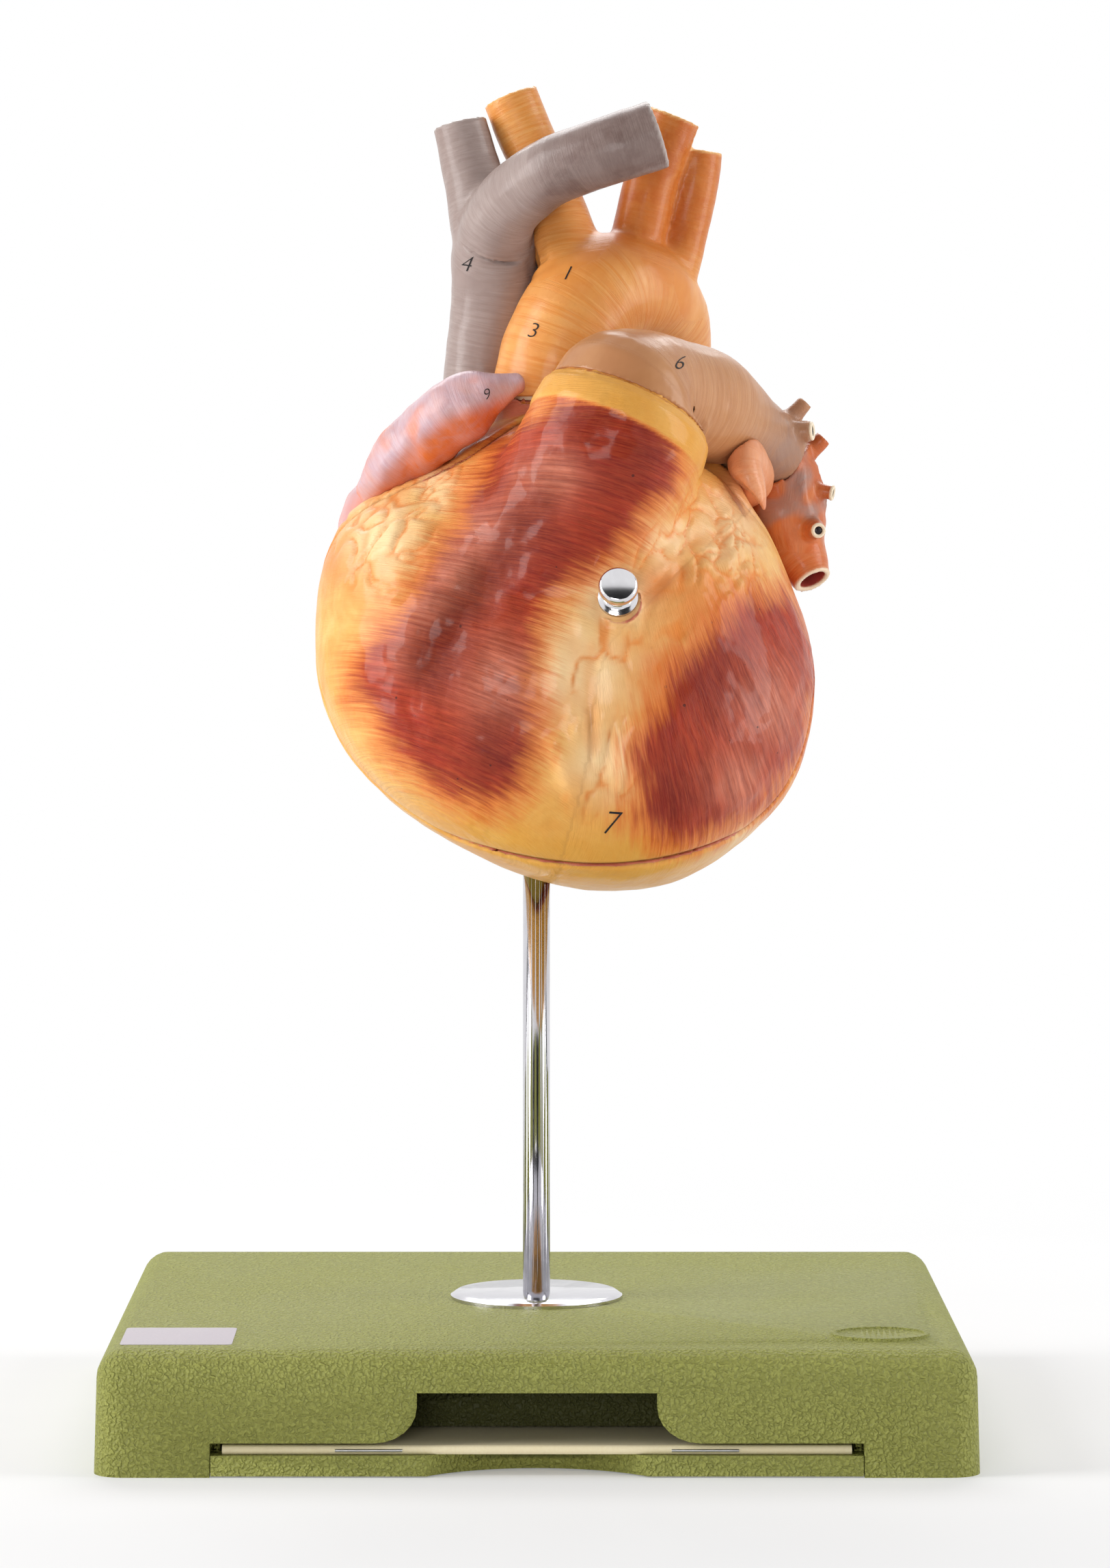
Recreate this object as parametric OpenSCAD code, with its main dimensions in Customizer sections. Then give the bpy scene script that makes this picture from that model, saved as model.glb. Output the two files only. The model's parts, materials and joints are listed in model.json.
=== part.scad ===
// Human heart anatomy model on a moulded stand, natural size, in millimetres.
// Frame: +Z up, +X to the right of a viewer in front, -Y towards that viewer.
// The origin is the middle of the stand's underside.

/* [Base] */
// Width of the moulded base
base_w = 185; // [176:1:200]
// Depth of the moulded base
base_d = 160; // [150:1:190]
// Height of the moulded base
base_h = 26; // [24:0.5:32]
// Thickness of the base's walls and top
base_wall = 3; // [2:0.5:4]
// Radius of the base's upright corners and top edge
base_edge_r = 6; // [4:0.5:8]
// Draft of the base's sides, in degrees
base_draft = 1.2; // [0.5:0.1:3]
// Width of the finger window in the front wall
window_w = 50; // [40:1:60]
// Height of the finger window's upper edge
window_top = 17.5; // [15:0.5:19]
// Width of the flares at the window's foot
window_flare = 9; // [6:0.5:10]
// Length of the raised oval on the base's top
oval_w = 21; // [16:0.5:24]
// Depth of the raised oval on the base's top
oval_d = 18; // [14:0.5:20]

/* [Booklet] */
// Length of the booklet along its spine
booklet_w = 131; // [110:1:136]
// Width of the booklet's page, from spine to free edge
booklet_d = 98; // [80:1:110]
// Thickness of the folded booklet
booklet_t = 1.9; // [1.5:0.1:2.2]
// Thickness of the booklet's cover sheet
cover_t = 0.4; // [0.3:0.05:0.5]
// Distance between the two staples
staple_pitch = 70; // [50:1:90]
// Length of a staple's crown
staple_len = 14; // [10:0.5:16]
// Play of the booklet in its slot
slot_play = 0.7; // [0.4:0.1:1.5]

/* [Floor panel] */
// Thickness of the floor panel
floor_t = 4.2; // [3.4:0.1:4.6]
// Depth of the thumb scoop in the panel's front edge
scoop_depth = 10; // [6:1:14]
// Width of the thumb scoop
scoop_w = 46; // [30:1:56]
// Clearance round the floor panel
panel_gap = 0.2; // [0.1:0.05:0.4]
// Radius of a floor screw's head
screw_head_r = 3.2; // [2.8:0.1:3.6]
// Radius of a floor screw's shank
screw_r = 1.5; // [1.2:0.1:1.8]

/* [Stand] */
// Radius of the stand rod
rod_r = 3; // [3:0.1:3.5]
// Radius of the rod's upper spigot, inside the heart
spigot_r = 2.5; // [2:0.1:2.6]
// Length of the rod's upper spigot
spigot_len = 30; // [22:1:34]
// Height of the rod's upper shoulder above the table
shoulder_z = 121; // [110:1:140]
// Radius of the stand flange
flange_r = 19; // [15:0.5:24]
// Thickness of the stand flange
flange_t = 1.5; // [1:0.1:2.5]
// Radius of the rod's threaded lower end
stud_r = 2.5; // [2:0.1:2.8]
// Width across the flats of the rod's nut
nut_flats = 8; // [7:0.5:10]
// Thickness of the rod's nut
nut_t = 4; // [3:0.1:5]
// Running clearance between the spigot and what turns on it
turn_gap = 0.05; // [0.02:0.01:0.1]

/* [Heart body] */
// Depth of the chest side, from the widest outline to its foremost point
front_depth = 44; // [41:0.5:48]
// Depth of the back side, from the widest outline to its rearmost point
rear_depth = 34; // [31:0.5:38]
// How far the foremost point lies below the middle
front_drop = 16; // [12:1:22]
// Gap at the seams between pieces that come apart
seam_gap = 0.3; // [0.2:0.05:0.5]
// Glue line between pieces that are bonded together
bond_gap = 0.1; // [0.05:0.05:0.2]

/* [Knob] */
// Radius of the pull knob's cap
knob_r = 4.3; // [3.5:0.1:5.5]
// Height of the pull knob
knob_h = 7.7; // [6.5:0.1:10]
// Upward tilt of the knob's axis, in degrees
knob_tilt = 27; // [20:1:32]
// Radius of the knob's threaded shank
shank_r = 1.5; // [1.2:0.1:1.8]
// Length of the knob's threaded shank
shank_len = 10; // [8:0.5:11]

/* [Vessels] */
// Wall of an artery at its cut end
artery_wall = 1.6; // [1.2:0.1:2]
// Wall of a vein at its cut end
vein_wall = 1.3; // [1:0.1:1.8]
// Depth of the bore at a vessel's cut end
bore_depth = 9; // [6:0.5:11]

/* [Pins and magnets] */
// Radius of a locating pin
pin_r = 1.5; // [1.2:0.1:1.8]
// Length of a locating pin
pin_len = 14; // [12:0.5:16]
// Radius of a holding magnet
magnet_r = 3.5; // [3:0.1:4]
// Thickness of a holding magnet
magnet_t = 3; // [2:0.1:3.5]
// Clearance round a pin, magnet or insert in its seat
seat_gap = 0.1; // [0.05:0.05:0.2]

/* [Smoothness] */
// Sides of a large vessel
vessel_sides = 18; // [16:2:24]
// Sides of a small vessel
twig_sides = 10; // [8:2:12]

/* [Hidden] */
$fn = 48;
eps = 0.01;

// Colours of the casts and the stand
olive = [0.60, 0.62, 0.30];
fat_yellow = [0.93, 0.72, 0.40];
artery_orange = [0.88, 0.55, 0.25];
vein_grey = [0.62, 0.57, 0.56];
atrium_pink = [0.86, 0.66, 0.60];
root_tan = [0.84, 0.60, 0.42];
leaflet_white = [0.93, 0.88, 0.78];
steel = [0.80, 0.80, 0.82];
brass = [0.80, 0.66, 0.36];
paper = [0.95, 0.92, 0.84];

// ---- Sizes worked out for the stand ----
fit = 0.05;                                   // between a screw or stud and its hole
floor_z = 0.3;                                // the panel hangs just clear of the table
slot_floor = floor_z + floor_t;
slot_h = booklet_t + slot_play;
slot_top = slot_floor + slot_h;
front_y = -base_d / 2;
base_in = base_h - base_wall;                 // underside of the base's top
bottom_r = base_edge_r + base_h * tan(base_draft);
flange_top = base_h + flange_t;
washer_t = 1;
boss_r = screw_r + 2.5;
boss_x = booklet_w / 2 + slot_play + boss_r + 3;
panel_w = booklet_w + 2 * slot_play + 3.3;    // tongue of the panel in the front wall
panel_in_w = 2 * (boss_x + boss_r + 1);
stop_y = front_y + 1.5 + booklet_d + slot_play;
panel_back = stop_y + 2 * boss_r + 4;
boss_ys = [front_y + 18, (front_y + stop_y) / 2, stop_y + boss_r + 2];
head_t = 1.8;
screw_len = 12;
rib_t = 2;

// ---- Sizes worked out for the heart ----
turn_washer_t = 1;
turn_washer_r = 4.8;
socket_r = 5;
socket_len = spigot_len + 2;
seat_z = shoulder_z + turn_washer_t + turn_gap;   // mouth of the socket: the heart's own zero
mid = [7, 0, 50];                             // middle of the ventricles, from the socket's mouth

// Widest outline of the ventricles, seen from the front: [x, z] from the socket's mouth
belly = [
    [4, 104], [30, 95], [48, 79], [57, 61], [62, 41], [56, 16], [36, -1.5],
    [18, -5.8], [-1, -3], [-28, 10.5], [-45, 29], [-49.4, 53], [-43, 76], [-20, 90],
];
// Parting line between front wall and rear half, seen from the side: [z, y]
parting = [
    [-20, -60], [2, -33], [8, -20], [17, -13.5], [28, -8.5], [36, -7.5], [56, 2], [72, -4],
    [90, -12], [130, -12],
];
// Ring where the pulmonary trunk leaves the ventricles
ring_at = [19.6, -27, 100.5];
ring_dir = [0.39, 0.26, 0.883];
ring_r = 19;

// ---- Curves and lofts ----
function unit(v) = v / norm(v);
// Point at t on the smooth curve through b and c, with neighbours a and d
function smooth_at(a, b, c, d, t) =
    ((2 * b) + (c - a) * t + (2 * a - 5 * b + 4 * c - d) * t * t
     + (3 * b - a - 3 * c + d) * t * t * t) / 2;
// Smooth open curve through the points p, with n steps to each stretch
function smooth_path(p, n) = [
    for (i = [0 : len(p) - 2], k = [0 : n - 1])
        smooth_at(p[max(i - 1, 0)], p[i], p[i + 1], p[min(i + 2, len(p) - 1)], k / n),
    p[len(p) - 1],
];
// Smooth closed curve through the points p
function smooth_loop(p, n) = let (m = len(p)) [
    for (i = [0 : m - 1], k = [0 : n - 1])
        smooth_at(p[(i + m - 1) % m], p[i], p[(i + 1) % m], p[(i + 2) % m], k / n),
];
function xyz(p) = [p[0], p[1], p[2]];
// Circle of points round p, square to dir; p is [x, y, z, radius]
function circle_at(p, dir, sides, flat = 1) =
    let (ref = abs(dir[1]) < 0.8 ? [0, 1, 0] : [1, 0, 0],
         u = unit(cross(ref, dir)), v = cross(unit(dir), u))
    [for (i = [0 : sides - 1]) let (a = 360 * i / sides)
        xyz(p) + p[3] * (cos(a) * u + flat * sin(a) * v)];

function middle(ring) = [for (p = ring) 1 / len(ring)] * ring;
// Hull of two rings of points; where it goes on, its end swells a little into the next span
swell = 0.2;
end_trim = 0.1;                               // shaved off a vessel's end, so that it is flat
module span_between(a, b, before, after) {
    ends = [middle(a), middle(b)];
    dir = unit(ends[1] - ends[0]) * swell;
    p = concat(a, b, before ? [ends[0] - dir] : [], after ? [ends[1] + dir] : []);
    hull() polyhedron(p, [for (i = [0 : len(p) - 3]) [i, i + 1, i + 2]]);
}
// Skin through a row of convex rings
module loft(rings) {
    last = len(rings) - 2;
    for (i = [0 : last]) span_between(rings[i], rings[i + 1], i > 0, i < last);
}
// Round tube along a smooth curve through path, whose points are [x, y, z, radius]
module vessel(path, steps = 3, sides = vessel_sides, grow = 0, flat = 1) {
    p = smooth_path(path, steps);
    n = len(p);
    loft([for (i = [0 : n - 1])
        circle_at([p[i][0], p[i][1], p[i][2], p[i][3] + grow],
                  xyz(p[min(i + 1, n - 1)] - p[max(i - 1, 0)]), sides, flat)]);
}
// Clean cut at the last point of path, with a blind bore as deep as bore_depth
module end_bore(path, wall, sides = vessel_sides, steps = 2) {
    p = smooth_path(path, steps);
    last = p[len(p) - 1];
    tip = xyz(last);
    dir = unit(tip - xyz(p[len(p) - 2]));
    r = last[3] - wall;
    along(tip - end_trim * dir, dir) cylinder(r = 1.3 * last[3] + 1, h = 3, $fn = 16);
    loft([circle_at(concat(tip - dir * bore_depth, r * 0.45), dir, sides),
          circle_at(concat(tip - dir * bore_depth * 0.75, r * 0.9), dir, sides),
          circle_at(concat(tip + dir, r), dir, sides)]);
}
// Smooth egg with half axes r, its long axis leaning by tilt
module egg(at, r, tilt = [0, 0, 0], grow = 0) {
    translate(at) rotate(tilt) scale(r + [grow, grow, grow]) sphere(1, $fn = 16);
}
module along(at, dir) {
    translate(at) rotate([0, acos(dir[2] / norm(dir)), atan2(dir[1], dir[0])]) children();
}
// Everything of the heart is drawn from the socket's mouth
module in_heart() translate([0, 0, seat_z]) children();

// ---- Stand ----
module corner_post(inset, z0, h) {
    // One round corner of the base, drafted, with a rounded top edge
    edge = max(base_edge_r - inset, 1);
    foot = max(bottom_r - inset, 1.2);
    rotate_extrude($fn = 32) {
        polygon(concat([[0, z0], [foot, z0]],
            [for (a = [0 : 15 : 90]) [edge * cos(a), h - edge + edge * sin(a)]], [[0, h]]));
    }
}
module base_block(inset, z0, h) {
    hull() for (sx = [-1, 1], sy = [-1, 1])
        translate([sx * (base_w / 2 - bottom_r), sy * (base_d / 2 - bottom_r), 0])
            corner_post(inset, z0, h);
}
module oval(w, d, h) {
    linear_extrude(h) polygon([for (a = [0 : 7.5 : 352.5]) [w / 2 * cos(a), d / 2 * sin(a)]]);
}
module window_outline() {
    // Finger window with its flared foot, in X and Z
    half = window_w / 2;
    flare_h = min(window_top - slot_top - 2, window_flare * 0.82);
    polygon(concat(
        [[-half, window_top], [-half, slot_top + flare_h]],
        [for (a = [0 : 15 : 90])
            [-half - window_flare * (1 - cos(a)), slot_top + flare_h * (1 - sin(a))]],
        [for (a = [90 : -15 : 0])
            [half + window_flare * (1 - cos(a)), slot_top + flare_h * (1 - sin(a))]],
        [[half, window_top]]));
}
module base_ribs() {
    // Guides beside the booklet, its stop, and the cross ribs that keep it down
    guide_x = booklet_w / 2 + slot_play;
    for (s = [-1, 1])
        translate([s * (guide_x + rib_t / 2) - rib_t / 2, front_y + base_wall, slot_floor + panel_gap])
            cube([rib_t, stop_y - front_y - base_wall, base_h - slot_floor - base_wall]);
    translate([-guide_x - rib_t, stop_y, slot_floor + panel_gap])
        cube([2 * guide_x + 2 * rib_t, rib_t, base_h - slot_floor - base_wall]);
    for (y = [front_y + 22, front_y + 52, stop_y - 12])
        translate([-guide_x - 1, y, slot_top]) cube([2 * guide_x + 2, rib_t, base_h - slot_top - 1]);
    for (x = [-base_w / 4, 0, base_w / 4])
        translate([x - rib_t / 2, stop_y + 1, slot_floor + panel_gap])
            cube([rib_t, base_d / 2 - stop_y - base_wall, base_h - slot_floor - base_wall]);
    for (s = [-1, 1], y = boss_ys)
        translate([s * boss_x, y, slot_floor]) cylinder(r = boss_r, h = base_h - slot_floor - 1);
    translate([0, 0, base_in - 1]) cylinder(r = nut_flats, h = 2);
}
module base_shell() color(olive) {
    difference() {
        union() {
            difference() {
                base_block(0, 0, base_h);
                base_block(base_wall, -1, base_in);
            }
            base_ribs();
        }
        // the ribs stay clear of the rod's nut
        translate([0, 0, -1]) cylinder(r = nut_flats, h = base_in);
        // opening of the front wall for the panel's tongue and the booklet
        translate([-panel_w / 2 - panel_gap, front_y - 1, -1])
            cube([panel_w + 2 * panel_gap, base_wall + 3, slot_top + 1]);
        translate([0, front_y + base_wall + 3, 0]) rotate([90, 0, 0])
            linear_extrude(base_wall + 5) window_outline();
        // pilot holes of the floor screws, and the rod's hole
        for (s = [-1, 1], y = boss_ys)
            translate([s * boss_x, y, -1]) cylinder(r = screw_r + fit, h = floor_z + screw_len + 2);
        translate([0, 0, base_in - 3]) cylinder(r = stud_r + fit, h = base_wall + 5);
    }
    // plain raised oval at the front right corner
    translate([base_w / 2 - 19.8, front_y + 24, base_h - eps]) difference() {
        oval(oval_w, oval_d, 0.6);
        translate([0, 0, 0.3]) oval(oval_w - 2.4, oval_d - 2.4, 1);
    }
}
module base_floor() color(olive) {
    difference() {
        union() {
            translate([-panel_w / 2, front_y, floor_z]) cube([panel_w, panel_back - front_y, floor_t]);
            translate([-panel_in_w / 2, front_y + base_wall + 0.8, floor_z])
                cube([panel_in_w, panel_back - front_y - base_wall - 0.8, floor_t]);
        }
        // thumb scoop: an arc through the front edge
        scoop_r = (scoop_w * scoop_w / 4 + scoop_depth * scoop_depth) / (2 * scoop_depth);
        translate([0, front_y + scoop_depth - scoop_r, -1]) cylinder(r = scoop_r, h = floor_t + 3);
        for (s = [-1, 1], y = boss_ys) translate([s * boss_x, y, -1]) {
            cylinder(r = screw_r + 4 * fit, h = floor_t + 3);
            cylinder(r = screw_head_r + 0.2, h = head_t + floor_z + 1.2);
        }
    }
}
module floor_screws() color(steel) {
    for (s = [-1, 1], y = boss_ys) translate([s * boss_x, y, floor_z + 0.2]) difference() {
        union() {
            cylinder(r = screw_head_r, h = head_t);
            cylinder(r = screw_r, h = screw_len - 1);
        }
        for (a = [0, 90]) rotate(a) translate([-screw_head_r * 0.6, -0.4, -1])
            cube([screw_head_r * 1.2, 0.8, 1.8]);
    }
}
module stand_flange() color(steel) {
    bevel = flange_t * 0.55;
    rotate_extrude($fn = 96) polygon([[stud_r + fit, base_h], [flange_r, base_h],
        [flange_r, flange_top - bevel], [flange_r - 1.6 * bevel, flange_top], [stud_r + fit, flange_top]]);
}
module stand_rod() color(steel) {
    stud_end = base_in - washer_t - nut_t - 2;
    translate([0, 0, stud_end]) cylinder(r = stud_r, h = flange_top - stud_end + eps);
    translate([0, 0, flange_top]) cylinder(r = rod_r, h = shoulder_z - flange_top);
    translate([0, 0, shoulder_z - eps]) cylinder(r = spigot_r, h = spigot_len - 1 + eps);
    translate([0, 0, shoulder_z + spigot_len - 1]) cylinder(r1 = spigot_r, r2 = spigot_r - 0.7, h = 1);
}
module rod_washer() color(steel) {
    translate([0, 0, base_in - 1 - washer_t]) difference() {
        cylinder(r = nut_flats * 0.75, h = washer_t);
        translate([0, 0, -1]) cylinder(r = stud_r + fit, h = washer_t + 2);
    }
}
module rod_nut() color(steel) {
    translate([0, 0, base_in - 1 - washer_t - nut_t]) difference() {
        intersection() {
            cylinder(r = nut_flats / sqrt(3), h = nut_t, $fn = 6);
            cylinder(r1 = nut_flats * 0.55 + nut_t * 0.3, r2 = nut_flats * 0.55 + nut_t * 1.3, h = nut_t);
        }
        translate([0, 0, -1]) cylinder(r = stud_r + fit, h = nut_t + 2);
    }
}
module turn_washer() color(brass) {
    translate([0, 0, shoulder_z]) difference() {
        cylinder(r = turn_washer_r, h = turn_washer_t);
        translate([0, 0, -1]) cylinder(r = spigot_r + turn_gap, h = turn_washer_t + 2);
    }
}

// ---- Booklet ----
spine_y = front_y + 1.5;
module folded(t, inset) {
    // Side view of the fold: a half round spine, then flat pages, in Y and Z
    r = t / 2;
    polygon(concat([for (a = [90 : 15 : 270]) [spine_y + inset + r + r * cos(a), r * sin(a)]],
        [[spine_y + booklet_d, -r], [spine_y + booklet_d, r]]));
}
module sheet_stack(w) {
    translate([-w / 2, 0, slot_floor + booklet_t / 2]) rotate([90, 0, 90]) linear_extrude(w) children();
}
module booklet_cover() color(paper) {
    sheet_stack(booklet_w) difference() {
        folded(booklet_t, 0);
        inner_t = booklet_t - 2 * cover_t;
        folded(inner_t, cover_t);
        translate([spine_y + booklet_d - 1, -inner_t / 2]) square([2, inner_t]);
    }
}
module booklet_pages() color("white") {
    translate([0, -0.3, 0]) sheet_stack(booklet_w - 1.5) difference() {
        folded(booklet_t - 2 * cover_t - 0.1, cover_t + 0.35);
        // the staples' legs lie in the fold
        translate([spine_y - 1, -0.25]) square([3, 0.5]);
    }
}
module booklet_staples() color(steel) {
    wire = 0.3;
    for (s = [-1, 1]) translate([s * staple_pitch / 2, spine_y - wire, slot_floor + booklet_t / 2])
        rotate([0, 90, 0]) cylinder(r = wire, h = staple_len, center = true, $fn = 16);
}

// ---- Ventricles ----
// One ring of the ventricles' skin; t runs from -1 (rearmost) over 0 (widest) to 1 (foremost)
function belly_ring(t, grow) =
    let (a = 90 * abs(t), front = t > 0,
         size = pow(max(cos(a), 0.002), 0.8) * (1 + grow / 50),
         depth = (front ? -(front_depth + grow) : rear_depth + grow) * sin(a),
         drop = front ? front_drop * pow(sin(a), 2) : -6 * pow(sin(a), 2))
    [for (p = smooth_loop(belly, 2))
        [mid[0] + (p[0] - mid[0]) * size, depth, mid[2] - drop + (p[1] - mid[2]) * size]];
module ventricle_mass(grow = 0) {
    loft([for (t = [-0.98, -0.86, -0.68, -0.46, -0.22, 0, 0.22, 0.44, 0.62, 0.78, 0.9, 0.98])
        belly_ring(t, grow)]);
}
// What the front wall sweeps through as it is pulled off
module front_wall_path(grow) {
    translate([0, grow, 0]) rotate([90, 0, 0]) linear_extrude(90) polygon([for (p = smooth_loop(belly, 2))
        [mid[0] + (p[0] - mid[0]) * (1 + grow / 50), mid[2] + (p[1] - mid[2]) * (1 + grow / 50)]]);
}
// Outflow of the right ventricle, up to the ring under the pulmonary trunk
conus_top_z = 88;
conus = [[1, -11, 50, 24], [7, -22, 72, 21], concat(ring_at - 9 * ring_dir, ring_r + 0.8),
         concat(ring_at, ring_r), concat(ring_at + 3 * ring_dir, ring_r)];
module conus_mass(grow = 0) {
    difference() {
        vessel(conus, 2, vessel_sides + 4, grow);
        along(ring_at + grow * ring_dir, ring_dir) cylinder(r = 2 * ring_r, h = 30, $fn = 16);
    }
}
// Upper end of the outflow, which goes back past the parting line
module conus_top(grow = 0) {
    intersection() {
        conus_mass(grow);
        translate([0, 0, conus_top_z - grow + 30]) cube([120, 120, 60], center = true);
    }
}
// Side of the parting line on which the front wall lies, drawn back by gap
module front_side(gap) {
    rotate([90, 0, 90]) linear_extrude(300, center = true) polygon(concat(
        [for (p = parting) [p[1] - gap / 2, p[0]]], [[-120, 130], [-120, -20]]));
}
right_chamber = [[-24, 6, 74, 15], [-22, -6, 56, 22], [-14, -12, 40, 17], [-6, -15, 32, 8]];
outflow = [[-8, -16, 44, 12], [0, -22, 62, 14], [9, -26, 82, 14], concat(ring_at - 4 * ring_dir, 13.5),
           concat(ring_at + 4 * ring_dir, 13.5)];
left_chamber = [[48, -3, 14, 4], [42, -2, 26, 11], [34, 0, 44, 15], [25, 4, 62, 15], [14, 6, 82, 12]];
module chambers() {
    vessel(right_chamber, 2, 14);
    vessel(outflow, 2, 14);
    vessel(left_chamber, 2, 14);
}
// Muscle columns that stand out from the chamber walls
columns = [
    [[-40, 2, 44], [-38, 6, 66]], [[-34, 10, 40], [-30, 15, 62]], [[-26, 14, 38], [-22, 17, 58]],
    [[-17, 12, 36], [-13, 16, 54]], [[22, 16, 48], [18, 17, 66]], [[32, 14, 34], [28, 17, 54]],
    [[40, 11, 26], [38, 14, 42]], [[-8, 8, 40], [-5, 10, 56]],
];
module muscle_columns(r) {
    for (c = columns) hull() for (p = c) translate(p) sphere(r, $fn = 8);
}
socket_boss_r = socket_r + 3;
hole_sides = 20;                              // of a hole in a cast, which is soft and has no true bore
front_pins = [[-43, 46], [14, 14], [55, 46]];     // x and z of the pins in the seam
front_mags = [[-33, 26], [50, 24], [13, 42]];     // x and z of the magnet pairs
function parting_y(z) = lookup(z, parting);
module seam_hole(p, r, depth) {
    translate([p[0], parting_y(p[1]), p[1]]) rotate([90, 0, 0])
        cylinder(r = r, h = 2 * depth, center = true, $fn = hole_sides);
}
mitral_at = [15.4, 15, 80];
mitral_dir = [-0.30, 0.42, 0.85];
mitral_r = 12;
tricuspid_at = [-27, 14, 77];
tricuspid_dir = [-0.25, 0.55, 0.80];
tricuspid_r = 13;
aortic_at = [2, 2, 98];
aortic_r = 10.5;
collar_h = 5;
module valve_passage(r) {
    // seat of the ring, open to the atrium, with a funnel round the leaflets
    translate([0, 0, -1.2]) cylinder(r = r + bond_gap, h = 40, $fn = hole_sides);
    translate([0, 0, -leaf_h - 1]) cylinder(r1 = r * 0.5, r2 = r + bond_gap, h = leaf_h, $fn = hole_sides);
}
module aortic_bore() {
    // wide seat for the valve, with a ledge that it rests on
    translate([aortic_at[0], aortic_at[1], 84]) cylinder(r = aortic_r - 1.5, h = 30, $fn = hole_sides);
    translate([aortic_at[0], aortic_at[1], collar_z + valve_up - aortic_valve_h - bond_gap])
        cylinder(r = aortic_r, h = 30, $fn = 32);
}
module ventricle_rear() color(fat_yellow) in_heart() {
    difference() {
        union() {
            difference() {
                union() {
                    ventricle_mass();
                    aortic_collar();
                }
                front_side(-seam_gap);
                conus_top(seam_gap);
                chambers();
            }
            intersection() {
                union() {
                    muscle_columns(2.2);
                    cylinder(r = socket_boss_r, h = socket_len + 3, $fn = 32);
                }
                difference() {
                    ventricle_mass(-2);
                    front_side(-seam_gap);
                }
            }
        }
        translate([0, 0, -20]) cylinder(r = socket_r + seat_gap, h = 20 + socket_len);
        along(mitral_at, mitral_dir) valve_passage(mitral_r);
        along(tricuspid_at, tricuspid_dir) valve_passage(tricuspid_r);
        papillary_cones(bond_gap, hole_sides);
        aortic_bore();
        for (p = front_pins) seam_hole(p, pin_r + seat_gap, pin_len / 2 + seat_gap);
        for (p = front_mags) seam_hole(p, magnet_r + seat_gap, magnet_t + seat_gap);
        along(pin_foot - seat_gap * trunk_off, trunk_off)
            cylinder(r = pin_r + seat_gap, h = pin_len, $fn = hole_sides);
        trunk_path_clear();
    }
}
module rod_socket() color(brass) in_heart() {
    difference() {
        cylinder(r = socket_r, h = socket_len);
        translate([0, 0, -1]) cylinder(r = spigot_r + turn_gap, h = socket_len + 2);
    }
}
// Short cones of muscle that stand on the chamber walls: foot and tip of each
papillary = [[[24, 15, 40], [21, 8, 54]], [[37, 12, 34], [33, 5, 50]], [[-30, 12, 46], [-27, 5, 56]]];
module papillary_cones(grow, sides) {
    for (s = papillary) {
        dir = unit(s[1] - s[0]);
        len = norm(s[1] - s[0]) + 3 + 2 * grow;
        along(s[0] - (3 + grow) * dir, dir)
            cylinder(r1 = 3.6 + 1.1 * grow, r2 = 1.6 + 1.1 * grow, h = len, $fn = sides);
    }
}
module papillary_muscles() color(leaflet_white) in_heart() papillary_cones(0, 48);

// ---- Atria and what opens into them ----
right_lumps = [[[-17, 20, 86], [15, 14, 19]], [[-30, 20, 72], [15, 15, 17]], [[-27, 26, 60], [14, 11, 15]]];
cava_foot = [-12.2, 16, 103];
module right_atrium_mass(grow = 0) {
    for (a = right_lumps) egg(a[0], a[1], [0, 0, 0], grow);
    vessel([[-15, 18, 84, 11], concat(cava_foot - [0, 0, 8], 10), concat(cava_foot, 9.3)],
           3, vessel_sides, grow);
}
module aortic_collar(grow = 0) {
    translate([aortic_at[0], aortic_at[1], 78])
        cylinder(r = aortic_r + 2.2 + grow, h = collar_z - 78, $fn = 36);
}
module right_atrium() color(atrium_pink) in_heart() {
    difference() {
        right_atrium_mass();
        ventricle_mass(bond_gap);
        conus_mass(seam_gap);
        aortic_collar(bond_gap);
        translate(cava_foot + [0, 0, 20]) cube([60, 60, 40], center = true);
        along(tricuspid_at, tricuspid_dir) translate([0, 0, -1.2])
            cylinder(r = tricuspid_r + bond_gap, h = 2.3, $fn = hole_sides);
        // hollow of the atrium, from the cava down to the valve
        vessel([[-13, 17, 98, 7], [-17, 20, 88, 10], [-24, 21, 80, 11], [-28, 17, 72, 11]], 3, 16);
    }
}
module right_auricle() color(atrium_pink) in_heart() {
    difference() {
        vessel([[-38, 2, 81, 3], [-31, -3, 89, 6.5], [-23, -8, 96, 7.5], [-16, -12, 101, 7.5],
                [-9, -14, 104.5, 4.5], [-3, -14, 106.5, 2]], 3, twig_sides + 4);
        ventricle_mass(seam_gap);
        conus_mass(seam_gap);
        right_atrium_mass(bond_gap);
        aortic_collar(bond_gap);
    }
}
left_lumps = [[[20, 30, 84], [25, 16, 16]], [[38, 26, 78], [17, 13, 14]]];
module left_atrium_mass(grow = 0) {
    for (a = left_lumps) egg(a[0], a[1], [0, 0, 0], grow);
}
module left_atrium() color(atrium_pink) in_heart() {
    difference() {
        left_atrium_mass();
        ventricle_mass(bond_gap);
        right_atrium_mass(bond_gap);
        aortic_collar(bond_gap);
        trunk_path_clear();
        vessel([[34, 28, 84, 9], [24, 28, 86, 11], [16, 22, 86, 11], [14, 17, 82, 11]], 3, 16);
    }
}
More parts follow.
